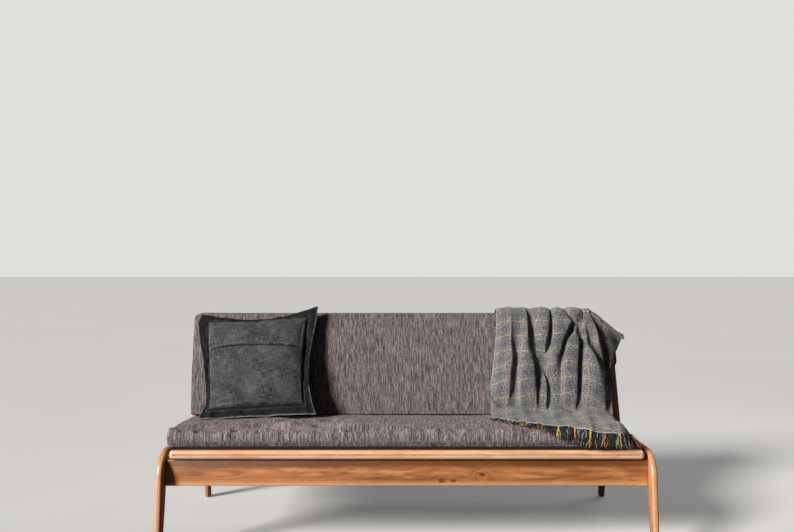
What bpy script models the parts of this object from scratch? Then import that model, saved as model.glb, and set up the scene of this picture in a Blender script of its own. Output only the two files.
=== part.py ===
"""A mid-century bench sofa: bent side frames, an apron and lip in solid wood, a slatted deck
and back, a seat and a back cushion, a loose cushion and a fringed throw.

Metres, +Z up, +X to the right as someone looks at the front, +Y towards the back. The origin
is on the floor, midway between the feet. Run it with blender --background --python part.py.
"""

from bisect import bisect_right
from math import atan2, ceil, cos, exp, pi, radians, sin, tan

import bmesh
import bpy
from mathutils import Matrix, Vector

# Gap that touching pieces keep
GAP = 0.0003

# Side frames: one plank each side, an upturned U with rounded corners
HALF_WIDTH = 0.925
PLANK = 0.022
RAIL_TOP = 0.381
RAIL_HEIGHT = 0.062
FOOT_Y = 0.435
FOOT_DEPTH = 0.046
FOOT_Z = 0.004
KNEE_Z = 0.28
KNEE_Y = 0.405
KNEE_DEPTH = 0.076
CORNER_RADIUS = 0.10
INNER_RADIUS = 0.060
RAIL_END_Y = 0.26
EASED_EDGE = 0.004
SMALL_EDGE = 0.0025
INNER_X = HALF_WIDTH - PLANK

# Apron, lip and the beams between the side frames
APRON_THICK = 0.024
APRON_FACE_Y = -0.357
APRON_BOTTOM = 0.250
LIP_HALF_WIDTH = 0.885
LIP_FACE_Y = -0.375
LIP_DEPTH = 0.041
LIP_THICK = 0.035
LIP_ROUND = 0.012
BEAM_HALF_WIDTH = INNER_X - GAP
REAR_BEAM_Y = 0.106
REAR_BEAM_THICK = 0.022
REAR_BEAM_HEIGHT = 0.070
LEDGER_DEPTH = 0.044
LEDGER_HEIGHT = 0.032

# The deck slopes down towards the back
DECK_SLOPE = radians(3.0)
DECK_FRONT_Z = 0.3865
SLAT_COUNT = 13
SLAT_WIDTH = 0.060
SLAT_THICK = 0.018
SLAT_SPAN = 1.64
SLAT_REAR_Y = 0.117
SLAT_LIP_GAP = 0.002

# The back frame leans on posts that stand on the rails
BACK_LEAN = radians(20.5)
POST_FOOT_Y = 0.107
POST_LENGTH = 0.445
POST_FOOT_DEPTH = 0.060
POST_TOP_DEPTH = 0.042
POST_FRONT_ROUND = 0.012
POST_REAR_ROUND = 0.018
BACK_RAIL_THICK = 0.020
BACK_RAIL_SET = 0.004
BOTTOM_RAIL = (0.035, 0.095)
TOP_RAIL = (0.370, 0.430)
BACK_SLAT_COUNT = 11
BACK_SLAT_WIDTH = 0.046
BACK_SLAT_THICK = 0.012
BACK_SLAT_SPAN = 1.56

# Seat cushion
SEAT_HALF_WIDTH = 0.884
SEAT_FRONT_Y = -0.385
SEAT_REAR_Y = 0.108
SEAT_THICK = 0.074
SEAT_CROWN = 0.008
SEAT_ROUND = 0.018
SEAT_CHORDS = 8
REST_GAP = 0.0006
SOFT_GAP = 0.0012

# Back cushion: a little wider than the seat's, and pushed sideways so that its top stands left
BACK_HALF_WIDTH = 0.889
BACK_SHIFT_X = 0.022
BACK_SIDEWAYS = 0.045
BACK_THICK = 0.135
BACK_TOP = 0.480
BACK_BULGE = 0.010
BACK_ROUND = 0.024
BACK_CHORDS = 6

# Loose cushion with a flat flange, leaning on the back cushion
LOOSE_SIDE = 0.495
LOOSE_THICK = 0.120
LOOSE_FLANGE = 0.040
LOOSE_FLANGE_THICK = 0.006
LOOSE_PINCH = 0.048
LOOSE_SIDE_PINCH = 0.028
LOOSE_X = -0.6080
LOOSE_FOOT_Y = -0.157
LOOSE_FOOT_RISE = 0.0145
LOOSE_LEAN = radians(33.5)
LOOSE_TURN = radians(-3.0)
LOOSE_CELLS = 12
LOOSE_SHOULDER = 2.4
LOOSE_FULLNESS = 0.42

# Throw: hangs over the back's right end, lies on the seat and ends at its front edge, where
# the last stretch of the sheet stands for its fringe
THROW_LEFT_TOP = 0.392
THROW_LEFT_SEAT = 0.345
THROW_RIGHT = 0.862
THROW_FLARE = 0.050
THROW_THICK = 0.005
THROW_LIFT = 0.009
THROW_FOLD = 0.026
THROW_FOLD_WIDTH = 0.024
THROW_COLUMNS = 36
THROW_ROW_STEP = 0.06
THROW_ARC_STEPS = 3
THROW_BEHIND_Y = 0.330
THROW_BEHIND_Z = 0.520
THROW_BEND = 0.024
THROW_CREASE_BEND = 0.060
THROW_FRONT_DROP = 0.055
THROW_LEFT_SHORT = 0.250
THROW_FLARE_Y = 0.150
THROW_FLAT_ON_SEAT = 0.5
# Each furrow's place along X on the top of the back, its place on the seat, and its share of depth
THROW_FURROWS = (
    (0.402, 0.355, 0.9),
    (0.478, 0.430, 0.7),
    (0.539, 0.553, 1.0),
    (0.631, 0.612, 1.0),
    (0.700, 0.655, 0.7),
    (0.776, 0.715, 1.0),
    (0.858, 0.858, 0.9),
)

# Fittings
BOLT_RADIUS = 0.0075
BOLT_HEAD = 0.003
BOLT_INSET = 0.024
GLIDE_RADIUS = 0.009

ARC_STEPS = 10
COLOURS = {
    "wood": ((0.47, 0.23, 0.11, 1.0), 0.42, 0.0),
    "pale_wood": ((0.56, 0.40, 0.25, 1.0), 0.55, 0.0),
    "sofa_cloth": ((0.10, 0.088, 0.088, 1.0), 0.92, 0.0),
    "dark_cloth": ((0.035, 0.036, 0.040, 1.0), 0.88, 0.0),
    "throw_cloth": ((0.115, 0.118, 0.128, 1.0), 0.94, 0.0),
    "dark_metal": ((0.05, 0.045, 0.04, 1.0), 0.40, 0.9),
    "felt": ((0.55, 0.48, 0.38, 1.0), 0.95, 0.0),
}


def deck_z(y):
    """Height of the deck's top, on which the seat cushion lies."""
    return DECK_FRONT_Z - tan(DECK_SLOPE) * (y - LIP_FACE_Y)


def apron_top():
    """Height of the apron, which just meets the underside of the sloping lip."""
    return deck_z(LIP_FACE_Y + LIP_DEPTH) - LIP_THICK / cos(DECK_SLOPE) - GAP


def seat_z(y):
    """Height of the seat cushion's top, with its crown, at a place from front to back."""
    middle = (SEAT_FRONT_Y + SEAT_REAR_Y) / 2
    reach = (SEAT_REAR_Y - SEAT_FRONT_Y) / 2
    rise = SEAT_CROWN * (1 - ((y - middle) / reach) ** 2)
    return deck_z(y) + REST_GAP + SEAT_THICK + rise


def back_point(out, along):
    """The (y, z) of a point of the back: out in front of the posts' plane, along up the lean."""
    y = POST_FOOT_Y + along * sin(BACK_LEAN) - out * cos(BACK_LEAN)
    z = RAIL_TOP + along * cos(BACK_LEAN) + out * sin(BACK_LEAN)
    return y, z


def rounded(corners, steps=ARC_STEPS, closed=True):
    """An outline whose corners, each (a, b, radius), are turned into arcs.

    Args:
        corners: The corner points in order, each with the radius of its arc, 0 for a sharp one.
        steps: The number of chords in each arc.
        closed: Whether the last corner joins the first.

    Returns:
        The outline as a list of (a, b) points.
    """
    points = []
    count = len(corners)
    for i, (a, b, radius) in enumerate(corners):
        corner = Vector((a, b))
        if radius <= 0 or (not closed and i in (0, count - 1)):
            points.append((a, b))
            continue
        before = Vector(corners[i - 1][:2]) - corner
        after = Vector(corners[(i + 1) % count][:2]) - corner
        before.normalize()
        after.normalize()
        half = before.angle(after) / 2
        centre = corner + (before + after).normalized() * radius / sin(half)
        start = corner + before * radius / tan(half) - centre
        end = corner + after * radius / tan(half) - centre
        first = atan2(start.y, start.x)
        sweep = (atan2(end.y, end.x) - first + pi) % (2 * pi) - pi
        for step in range(steps + 1):
            turn = first + sweep * step / steps
            points.append((centre.x + radius * cos(turn), centre.y + radius * sin(turn)))
    return points


def make_material(name):
    """The Principled material of one of the sofa's finishes."""
    colour, roughness, metallic = COLOURS[name]
    material = bpy.data.materials.new(name)
    material.use_nodes = True
    shader = material.node_tree.nodes["Principled BSDF"]
    shader.inputs["Base Color"].default_value = colour
    shader.inputs["Roughness"].default_value = roughness
    shader.inputs["Metallic"].default_value = metallic
    return material


def keep(obj, parts, material):
    """Puts a finished object in the sofa's collection, with its material."""
    for other in list(obj.users_collection):
        other.objects.unlink(obj)
    parts.objects.link(obj)
    obj.data.materials.clear()
    obj.data.materials.append(material)
    return obj


def ease(obj, width, segments=2):
    """Rounds the sharp edges of a piece."""
    bevel = obj.modifiers.new("eased edges", "BEVEL")
    bevel.width = width
    bevel.segments = segments
    bevel.limit_method = "ANGLE"
    bevel.angle_limit = radians(50)


def board(name, low, high, parts, material, edge=EASED_EDGE, tilt=0.0):
    """A straight board between two corners, turned about the X axis by a tilt at its centre."""
    size = [b - a for a, b in zip(low, high)]
    centre = [(a + b) / 2 for a, b in zip(low, high)]
    bpy.ops.mesh.primitive_cube_add(size=1, location=centre, rotation=(tilt, 0, 0))
    obj = bpy.context.object
    obj.name = name
    obj.data.transform(Matrix.Diagonal((*size, 1)))
    ease(obj, edge)
    return keep(obj, parts, material)


def sawn(name, outline, centre_x, width, parts, material, edge=EASED_EDGE, segments=2):
    """A piece with a flat outline in the YZ plane and a width along X.

    Args:
        name: The node's name.
        outline: The (y, z) points of its edge.
        centre_x: The middle of the width.
        width: The size along X.
        parts: The collection that takes the piece.
        material: Its finish.
        edge: The width of its eased edges.
        segments: The steps of that rounding.

    Returns:
        The mesh object.
    """
    data = bpy.data.curves.new(name, "CURVE")
    data.dimensions = "2D"
    data.fill_mode = "BOTH"
    data.extrude = width / 2
    spline = data.splines.new("POLY")
    spline.points.add(len(outline) - 1)
    for point, (y, z) in zip(spline.points, outline):
        point.co = (y, z, 0, 1)
    spline.use_cyclic_u = True
    guide = bpy.data.objects.new(name + "_outline", data)
    guide.location = (centre_x, 0, 0)
    guide.rotation_euler = (pi / 2, 0, pi / 2)
    bpy.context.scene.collection.objects.link(guide)
    bpy.context.view_layer.update()
    seen = guide.evaluated_get(bpy.context.evaluated_depsgraph_get())
    mesh = bpy.data.meshes.new_from_object(seen)
    mesh.name = name
    shape = bmesh.new()
    shape.from_mesh(mesh)
    bmesh.ops.remove_doubles(shape, verts=shape.verts, dist=0.00001)
    bmesh.ops.dissolve_limit(
        shape, angle_limit=radians(0.5), verts=shape.verts, edges=shape.edges
    )
    bmesh.ops.recalc_face_normals(shape, faces=shape.faces)
    shape.to_mesh(mesh)
    shape.free()
    obj = bpy.data.objects.new(name, mesh)
    obj.matrix_world = guide.matrix_world
    bpy.context.scene.collection.objects.link(obj)
    bpy.data.objects.remove(guide)
    ease(obj, edge, segments)
    return keep(obj, parts, material)


def leg_outline(way):
    """The outline of a leg with its rounded corner; way is -1 for a front leg, 1 for a rear one."""
    rail_bottom = RAIL_TOP - RAIL_HEIGHT
    lean = (FOOT_Y - KNEE_Y) / KNEE_Z
    outer_top = FOOT_Y - lean * RAIL_TOP
    taper = (FOOT_Y - FOOT_DEPTH - KNEE_Y + KNEE_DEPTH) / KNEE_Z
    inner_top = FOOT_Y - FOOT_DEPTH - taper * rail_bottom
    end = RAIL_END_Y + GAP / 2
    corners = [
        (FOOT_Y, FOOT_Z, 0),
        (outer_top, RAIL_TOP, CORNER_RADIUS),
        (end, RAIL_TOP, 0),
        (end, rail_bottom, 0),
        (inner_top, rail_bottom, INNER_RADIUS),
        (FOOT_Y - FOOT_DEPTH, FOOT_Z, 0),
    ]
    return [(way * y, z) for y, z in rounded(corners)]


def add_side_frames(parts, finish):
    """Two legs, a rail and a back post at each end of the sofa, with a felt glide in each foot."""
    rail_end = RAIL_END_Y - GAP / 2
    for side, way_x in (("left", -1), ("right", 1)):
        centre = way_x * (HALF_WIDTH - PLANK / 2)
        for place, way_y in (("front", -1), ("rear", 1)):
            leg = f"leg_{place}_{side}"
            sawn(leg, leg_outline(way_y), centre, PLANK, parts, finish["wood"])
            add_glide(f"glide_{place}_{side}", centre, way_y, parts, finish["felt"])
        board(
            f"side_rail_{side}",
            (centre - PLANK / 2, -rail_end, RAIL_TOP - RAIL_HEIGHT),
            (centre + PLANK / 2, rail_end, RAIL_TOP),
            parts,
            finish["wood"],
        )
        foot = GAP / cos(BACK_LEAN)
        rise = POST_FOOT_DEPTH * tan(BACK_LEAN)
        post = [
            (*back_point(0, foot), 0),
            (*back_point(0, POST_LENGTH), POST_FRONT_ROUND),
            (*back_point(-POST_TOP_DEPTH, POST_LENGTH), POST_REAR_ROUND),
            (*back_point(-POST_FOOT_DEPTH, foot + rise), 0),
        ]
        sawn(f"back_post_{side}", rounded(post, 6), centre, PLANK, parts, finish["wood"])


def add_glide(name, centre_x, way_y, parts, material):
    """A round felt glide under a foot."""
    y = way_y * (FOOT_Y - FOOT_DEPTH / 2)
    bpy.ops.mesh.primitive_cylinder_add(
        vertices=24,
        radius=GLIDE_RADIUS,
        depth=FOOT_Z - GAP,
        location=(centre_x, y, (FOOT_Z - GAP) / 2),
    )
    glide = bpy.context.object
    glide.name = name
    keep(glide, parts, material)


def add_beams(parts, finish):
    """The apron and lip of the front, the stretcher at the back and the two bearers of the slats."""
    wide = BEAM_HALF_WIDTH
    apron_rear = APRON_FACE_Y + APRON_THICK
    top = apron_top()
    board(
        "apron_front",
        (-wide, APRON_FACE_Y, APRON_BOTTOM),
        (wide, apron_rear, top),
        parts,
        finish["wood"],
    )
    board(
        "stretcher_rear",
        (-wide, -apron_rear, APRON_BOTTOM),
        (wide, -APRON_FACE_Y, top),
        parts,
        finish["wood"],
    )
    lip_y = LIP_FACE_Y + LIP_DEPTH / 2
    lip_z = deck_z(lip_y) - LIP_THICK / cos(DECK_SLOPE) / 2
    board(
        "deck_lip",
        (-LIP_HALF_WIDTH, LIP_FACE_Y, lip_z - LIP_THICK / 2),
        (LIP_HALF_WIDTH, LIP_FACE_Y + LIP_DEPTH, lip_z + LIP_THICK / 2),
        parts,
        finish["wood"],
        LIP_ROUND,
        -DECK_SLOPE,
    )
    under = SLAT_THICK / cos(DECK_SLOPE) + GAP
    ledger_y = apron_rear + GAP
    ledger_top = deck_z(ledger_y + LEDGER_DEPTH) - under
    board(
        "slat_ledger",
        (-wide, ledger_y, ledger_top - LEDGER_HEIGHT),
        (wide, ledger_y + LEDGER_DEPTH, ledger_top),
        parts,
        finish["pale_wood"],
        SMALL_EDGE,
    )
    beam_y = REAR_BEAM_Y - REAR_BEAM_THICK / 2
    beam_top = deck_z(beam_y + REAR_BEAM_THICK) - under
    board(
        "slat_beam",
        (-wide, beam_y, beam_top - REAR_BEAM_HEIGHT),
        (wide, beam_y + REAR_BEAM_THICK, beam_top),
        parts,
        finish["pale_wood"],
        SMALL_EDGE,
    )


def add_deck(parts, finish):
    """The slats that carry the seat cushion, from the ledger behind the lip to the rear beam."""
    front = LIP_FACE_Y + LIP_DEPTH + SLAT_LIP_GAP
    middle_y = (front + SLAT_REAR_Y) / 2
    length = (SLAT_REAR_Y - front) / cos(DECK_SLOPE)
    middle_z = deck_z(middle_y) - SLAT_THICK / cos(DECK_SLOPE) / 2
    for i in range(SLAT_COUNT):
        x = SLAT_SPAN * (i / (SLAT_COUNT - 1) - 0.5)
        board(
            f"deck_slat_{i + 1:02d}",
            (x - SLAT_WIDTH / 2, middle_y - length / 2, middle_z - SLAT_THICK / 2),
            (x + SLAT_WIDTH / 2, middle_y + length / 2, middle_z + SLAT_THICK / 2),
            parts,
            finish["pale_wood"],
            SMALL_EDGE,
            -DECK_SLOPE,
        )


def leaning_board(name, x_low, x_high, along, thick, parts, material, edge):
    """A board of the back frame, its front face a little behind the posts' plane.

    Args:
        name: The node's name.
        x_low: Its left end.
        x_high: Its right end.
        along: Its lower and upper limit, measured up the lean.
        thick: Its thickness.
        parts: The collection that takes it.
        material: Its finish.
        edge: The width of its eased edges.
    """
    y, z = back_point(-BACK_RAIL_SET - thick / 2, (along[0] + along[1]) / 2)
    half = (along[1] - along[0]) / 2
    board(
        name,
        (x_low, y - thick / 2, z - half),
        (x_high, y + thick / 2, z + half),
        parts,
        material,
        edge,
        -BACK_LEAN,
    )


def add_back_frame(parts, finish):
    """Two rails between the posts, and the upright slats between the rails."""
    wide = BEAM_HALF_WIDTH
    for name, along in (("back_rail_bottom", BOTTOM_RAIL), ("back_rail_top", TOP_RAIL)):
        leaning_board(
            name, -wide, wide, along, BACK_RAIL_THICK, parts, finish["wood"], EASED_EDGE
        )
    between = (BOTTOM_RAIL[1] + GAP, TOP_RAIL[0] - GAP)
    for i in range(BACK_SLAT_COUNT):
        x = BACK_SLAT_SPAN * (i / (BACK_SLAT_COUNT - 1) - 0.5)
        leaning_board(
            f"back_slat_{i + 1:02d}",
            x - BACK_SLAT_WIDTH / 2,
            x + BACK_SLAT_WIDTH / 2,
            between,
            BACK_SLAT_THICK,
            parts,
            finish["wood"],
            SMALL_EDGE,
        )


def add_bolts(parts, finish):
    """Two bolt heads in each end of the apron and of the rear stretcher."""
    y = -APRON_FACE_Y - APRON_THICK / 2
    heights = (APRON_BOTTOM + BOLT_INSET, apron_top() - BOLT_INSET)
    for side, way_x in (("left", -1), ("right", 1)):
        for place, way_y in (("front", -1), ("rear", 1)):
            for number, z in enumerate(heights, start=1):
                x = way_x * (HALF_WIDTH + GAP + BOLT_HEAD / 2)
                bpy.ops.mesh.primitive_cylinder_add(
                    vertices=20,
                    radius=BOLT_RADIUS,
                    depth=BOLT_HEAD,
                    location=(x, way_y * y, z),
                    rotation=(0, pi / 2, 0),
                )
                bolt = bpy.context.object
                bolt.name = f"bolt_{place}_{side}_{number}"
                keep(bolt, parts, finish["dark_metal"])


def add_seat_cushion(parts, finish):
    """The long seat cushion, crowned on top and flat on the deck."""
    top = []
    for i in range(1, SEAT_CHORDS):
        y = SEAT_FRONT_Y + (SEAT_REAR_Y - SEAT_FRONT_Y) * i / SEAT_CHORDS
        top.append((y, seat_z(y), 0))
    corners = [
        (SEAT_FRONT_Y, deck_z(SEAT_FRONT_Y) + REST_GAP, SEAT_ROUND),
        (SEAT_FRONT_Y, seat_z(SEAT_FRONT_Y), SEAT_ROUND),
        *top,
        (SEAT_REAR_Y, seat_z(SEAT_REAR_Y), SEAT_ROUND),
        (SEAT_REAR_Y, deck_z(SEAT_REAR_Y) + REST_GAP, SEAT_ROUND / 2),
    ]
    sawn(
        "seat_cushion",
        rounded(corners, 4),
        0.0,
        2 * SEAT_HALF_WIDTH,
        parts,
        finish["sofa_cloth"],
        SEAT_ROUND * 0.7,
        3,
    )


def add_back_cushion(parts, finish):
    """The long back cushion, which sits on the seat cushion and leans on the back frame."""
    def meets_seat(out):
        """How far up the lean a line of the cushion starts, just above the seat cushion."""
        along = 0.0
        for _ in range(40):
            y, z = back_point(out, along)
            along += (seat_z(min(y, SEAT_REAR_Y)) + SOFT_GAP - z) / cos(BACK_LEAN)
        return along

    front_foot = meets_seat(BACK_THICK)
    front = []
    for i in range(1, BACK_CHORDS):
        share = i / BACK_CHORDS
        bulge = BACK_BULGE * 4 * share * (1 - share)
        along = front_foot + (BACK_TOP - front_foot) * share
        front.append((*back_point(BACK_THICK + bulge, along), 0))
    corners = [
        (*back_point(SOFT_GAP, meets_seat(SOFT_GAP)), BACK_ROUND / 3),
        (*back_point(BACK_THICK, front_foot), BACK_ROUND / 2),
        *front,
        (*back_point(BACK_THICK, BACK_TOP), BACK_ROUND),
        (*back_point(SOFT_GAP, BACK_TOP), BACK_ROUND),
    ]
    cushion = sawn(
        "back_cushion",
        rounded(corners, 4),
        BACK_SHIFT_X,
        2 * BACK_HALF_WIDTH,
        parts,
        finish["sofa_cloth"],
        BACK_ROUND * 0.7,
        3,
    )
    push = Matrix.Identity(4)
    push[2][1] = -BACK_SIDEWAYS
    cushion.data.transform(push)


def add_loose_cushion(parts, finish):
    """A square cushion with a flat flange, puffed in the middle, standing on the seat."""
    bpy.ops.mesh.primitive_cube_add(size=2)
    obj = bpy.context.object
    obj.name = "loose_cushion"
    shape = bmesh.new()
    shape.from_mesh(obj.data)
    across = [e for e in shape.edges if abs(e.verts[0].co.y - e.verts[1].co.y) < 0.1]
    bmesh.ops.subdivide_edges(shape, edges=across, cuts=LOOSE_CELLS - 1, use_grid_fill=True)
    stuffed = 1 - 2 * LOOSE_FLANGE / LOOSE_SIDE
    for v in shape.verts:
        u, w, face = v.co.x, v.co.z, v.co.y
        fill_u = max(0.0, 1 - (abs(u) / stuffed) ** LOOSE_SHOULDER)
        fill_w = max(0.0, 1 - (abs(w) / stuffed) ** LOOSE_SHOULDER)
        puff = (fill_u * fill_w) ** LOOSE_FULLNESS
        half = (LOOSE_FLANGE_THICK + (LOOSE_THICK - LOOSE_FLANGE_THICK) * puff) / 2
        pinch = LOOSE_PINCH * (1 - u * u) * max(0.0, w) ** 3
        side_pinch = LOOSE_SIDE_PINCH * (1 - w * w) * abs(u) ** 3
        v.co = (
            u * (LOOSE_SIDE / 2 - side_pinch),
            face * half,
            LOOSE_SIDE / 2 + w * (LOOSE_SIDE / 2 - pinch),
        )
    shape.to_mesh(obj.data)
    shape.free()
    obj.location = (LOOSE_X, LOOSE_FOOT_Y, seat_z(LOOSE_FOOT_Y) + LOOSE_FOOT_RISE)
    obj.rotation_euler = (-LOOSE_LEAN, LOOSE_TURN, 0)
    keep(obj, parts, finish["dark_cloth"])


def throw_path():
    """The throw's line in the YZ plane, from its hem behind the back to its fringe at the front."""
    lift = THROW_LIFT
    rear = back_point(SOFT_GAP - lift, BACK_TOP + lift)
    over = back_point(BACK_THICK + lift, BACK_TOP + lift)
    waist = back_point(BACK_THICK + BACK_BULGE + lift, BACK_TOP / 2)
    crease_y = back_point(BACK_THICK + BACK_BULGE + lift, 0)[0]
    middle_y = (SEAT_FRONT_Y + SEAT_REAR_Y) / 2
    hang_y = SEAT_FRONT_Y - lift
    corners = [
        (THROW_BEHIND_Y, THROW_BEHIND_Z, 0),
        (THROW_BEHIND_Y, rear[1] - THROW_BEND, THROW_BEND),
        (*rear, THROW_BEND),
        (*over, THROW_BEND),
        (*waist, 5 * THROW_BEND),
        (crease_y, seat_z(crease_y) + lift, THROW_CREASE_BEND),
        (middle_y, seat_z(middle_y) + lift, 5 * THROW_BEND),
        (hang_y, seat_z(SEAT_FRONT_Y) + lift, THROW_BEND),
        (hang_y, seat_z(SEAT_FRONT_Y) - THROW_FRONT_DROP, 0),
    ]
    bent = rounded(corners, THROW_ARC_STEPS, closed=False)
    line = [Vector(bent[0])]
    for point in bent[1:]:
        run = Vector(point) - line[-1]
        count = ceil(run.length / THROW_ROW_STEP)
        start = line[-1]
        line += [start + run * step / count for step in range(1, count + 1)]
    return line


def run_lengths(line):
    """How far along a line each of its points lies."""
    lengths = [0.0]
    for a, b in zip(line, line[1:]):
        lengths.append(lengths[-1] + (b - a).length)
    return lengths


def place_along(line, lengths, goal):
    """The point of a line at a distance along it, and the line's direction there."""
    i = min(len(line) - 2, max(0, bisect_right(lengths, goal) - 1))
    share = (goal - lengths[i]) / (lengths[i + 1] - lengths[i])
    run = line[i + 1] - line[i]
    before = line[i] - line[i - 1] if i and share < 0.5 else run
    return line[i] + run * share, (before.normalized() + run.normalized()).normalized()


def throw_fold(x, down):
    """How far the throw stands out at a place along X, between its furrows.

    Args:
        x: The place along X.
        down: 0 on top of the back and 1 where the back meets the seat.

    Returns:
        The distance from its line towards its outer side: 0 in a furrow, THROW_FOLD on a fold.
    """
    depth = 0.0
    for top, seat, share in THROW_FURROWS:
        middle = top + (seat - top) * down
        depth += share * exp(-(((x - middle) / THROW_FOLD_WIDTH) ** 2))
    return THROW_FOLD * (1 - min(1.0, depth))


def add_throw(parts, finish):
    """A gathered throw as one thick folded sheet, its folds upright on the back and low on the seat."""
    line = throw_path()
    lengths = run_lengths(line)
    last = len(line) - 1
    top_z = back_point(BACK_THICK, BACK_TOP)[1]
    foot_z = seat_z(0) + THROW_CREASE_BEND / 2
    lying = min(s for s, place in zip(lengths, line) if place.x < SEAT_REAR_Y and place.y < foot_z)
    bpy.ops.mesh.primitive_grid_add(x_subdivisions=THROW_COLUMNS, y_subdivisions=last, size=2)
    obj = bpy.context.object
    obj.name = "throw"
    for v in obj.data.vertices:
        u = (v.co.x + 1) / 2
        goal = lengths[round((v.co.y + 1) / 2 * last)]
        if goal > lying:
            short = THROW_LEFT_SHORT * (1 - u) ** 3
            goal -= short * (goal - lying) / (lengths[-1] - lying)
        place, along = place_along(line, lengths, goal)
        down = min(1.0, max(0.0, (top_z - place.y) / (top_z - foot_z)))
        if place.x > THROW_FLARE_Y:
            down = 0.0
        left = THROW_LEFT_TOP + (THROW_LEFT_SEAT - THROW_LEFT_TOP) * down
        flare = max(0.0, place.x - THROW_FLARE_Y) / (THROW_BEHIND_Y - THROW_FLARE_Y)
        x = left + (THROW_RIGHT + THROW_FLARE * flare - left) * u
        fold = throw_fold(x, down) * (1 - THROW_FLAT_ON_SEAT * down)
        v.co = (x, place.x + along.y * fold, place.y - along.x * fold)
    obj.data.update()
    shell = obj.modifiers.new("cloth thickness", "SOLIDIFY")
    shell.thickness = THROW_THICK
    shell.offset = 0
    keep(obj, parts, finish["throw_cloth"])


def main():
    """Builds the whole sofa."""
    for old in list(bpy.data.objects):
        bpy.data.objects.remove(old)
    parts = bpy.data.collections.new("sofa")
    bpy.context.scene.collection.children.link(parts)
    finish = {name: make_material(name) for name in COLOURS}
    add_side_frames(parts, finish)
    add_beams(parts, finish)
    add_deck(parts, finish)
    add_back_frame(parts, finish)
    add_bolts(parts, finish)
    add_seat_cushion(parts, finish)
    add_back_cushion(parts, finish)
    add_loose_cushion(parts, finish)
    add_throw(parts, finish)


main()
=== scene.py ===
"""The looks of a mid-century bench sofa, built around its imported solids.

Metres, in the solids' own frame: the origin is on the floor midway between the feet, +X is to the
right as someone looks at the front, +Y is towards the back and +Z is up.
"""

import logging
import math
import random
from bisect import bisect_right
from collections.abc import Callable, Iterator, Sequence
from contextlib import contextmanager
from dataclasses import dataclass, field
from enum import Enum
from functools import cached_property

import bmesh
import bpy
import numpy as np
from mathutils import Euler, Matrix, Vector, noise
from mathutils.bvhtree import BVHTree


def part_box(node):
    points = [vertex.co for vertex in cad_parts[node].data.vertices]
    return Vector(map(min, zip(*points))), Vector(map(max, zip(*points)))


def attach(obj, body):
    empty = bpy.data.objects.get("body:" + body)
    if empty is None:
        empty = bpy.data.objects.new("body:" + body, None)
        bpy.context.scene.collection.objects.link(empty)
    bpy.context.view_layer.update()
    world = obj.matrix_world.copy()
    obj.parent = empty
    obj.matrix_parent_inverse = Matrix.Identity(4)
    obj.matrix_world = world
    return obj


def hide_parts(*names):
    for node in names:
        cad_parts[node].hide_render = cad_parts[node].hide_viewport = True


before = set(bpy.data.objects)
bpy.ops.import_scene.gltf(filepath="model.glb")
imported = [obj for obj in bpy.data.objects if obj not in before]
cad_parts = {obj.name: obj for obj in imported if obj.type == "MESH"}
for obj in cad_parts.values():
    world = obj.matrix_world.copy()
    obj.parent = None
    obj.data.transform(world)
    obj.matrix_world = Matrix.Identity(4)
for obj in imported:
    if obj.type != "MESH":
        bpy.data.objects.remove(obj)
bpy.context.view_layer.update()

GRAIN = "grain"
WEAVE = "weave"
REST = "rest"
PANEL = "panel"
WEAR_AND_SHADE = "wear"
UNDERSIDE_SHADE = "underside"
HEM = "hem"
SHADE = "shade"
TAU = 2 * math.pi
LEAST = 1e-9
TINY = 1e-6
NEAR = 1e-4
SHARP = math.radians(50)
UNDER_PANEL = 4
PANEL_SHIFT = (0.61, 0.37)

Colour = tuple[float, float, float, float]
Numbers = tuple[float, float, float]
Curve = tuple[tuple[float, float], ...]

log = logging.getLogger("sofa")


class Slot(Enum):
    """Material slot names; dress takes one for each piece but does not use it."""

    WOOD = "wood"
    PALE_WOOD = "pale_wood"
    SOFA_CLOTH = "sofa_cloth"
    DARK_CLOTH = "dark_cloth"
    THROW_CLOTH = "throw_cloth"
    DARK_METAL = "dark_metal"
    FELT = "felt"


def arithmetic(operation: str, turned: bool = False) -> Callable[["Wire", "Wire | float"], "Wire"]:
    """Makes a method that puts a Math node between a wire and another value.

    Args:
        operation: The node's operation.
        turned: Whether the other value comes first.

    Returns:
        The method.
    """

    def join(self: "Wire", other: "Wire | float") -> "Wire":
        """The node's result."""
        return self.paint.math(operation, *((other, self) if turned else (self, other)))

    return join


@dataclass(frozen=True, eq=False)
class Wire:
    """A socket in a material, whose arithmetic adds Math nodes."""

    paint: "Paint"
    socket: bpy.types.NodeSocket
    __add__ = __radd__ = arithmetic("ADD")
    __mul__ = __rmul__ = arithmetic("MULTIPLY")
    __sub__, __rsub__ = arithmetic("SUBTRACT"), arithmetic("SUBTRACT", turned=True)
    __truediv__ = arithmetic("DIVIDE")


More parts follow.
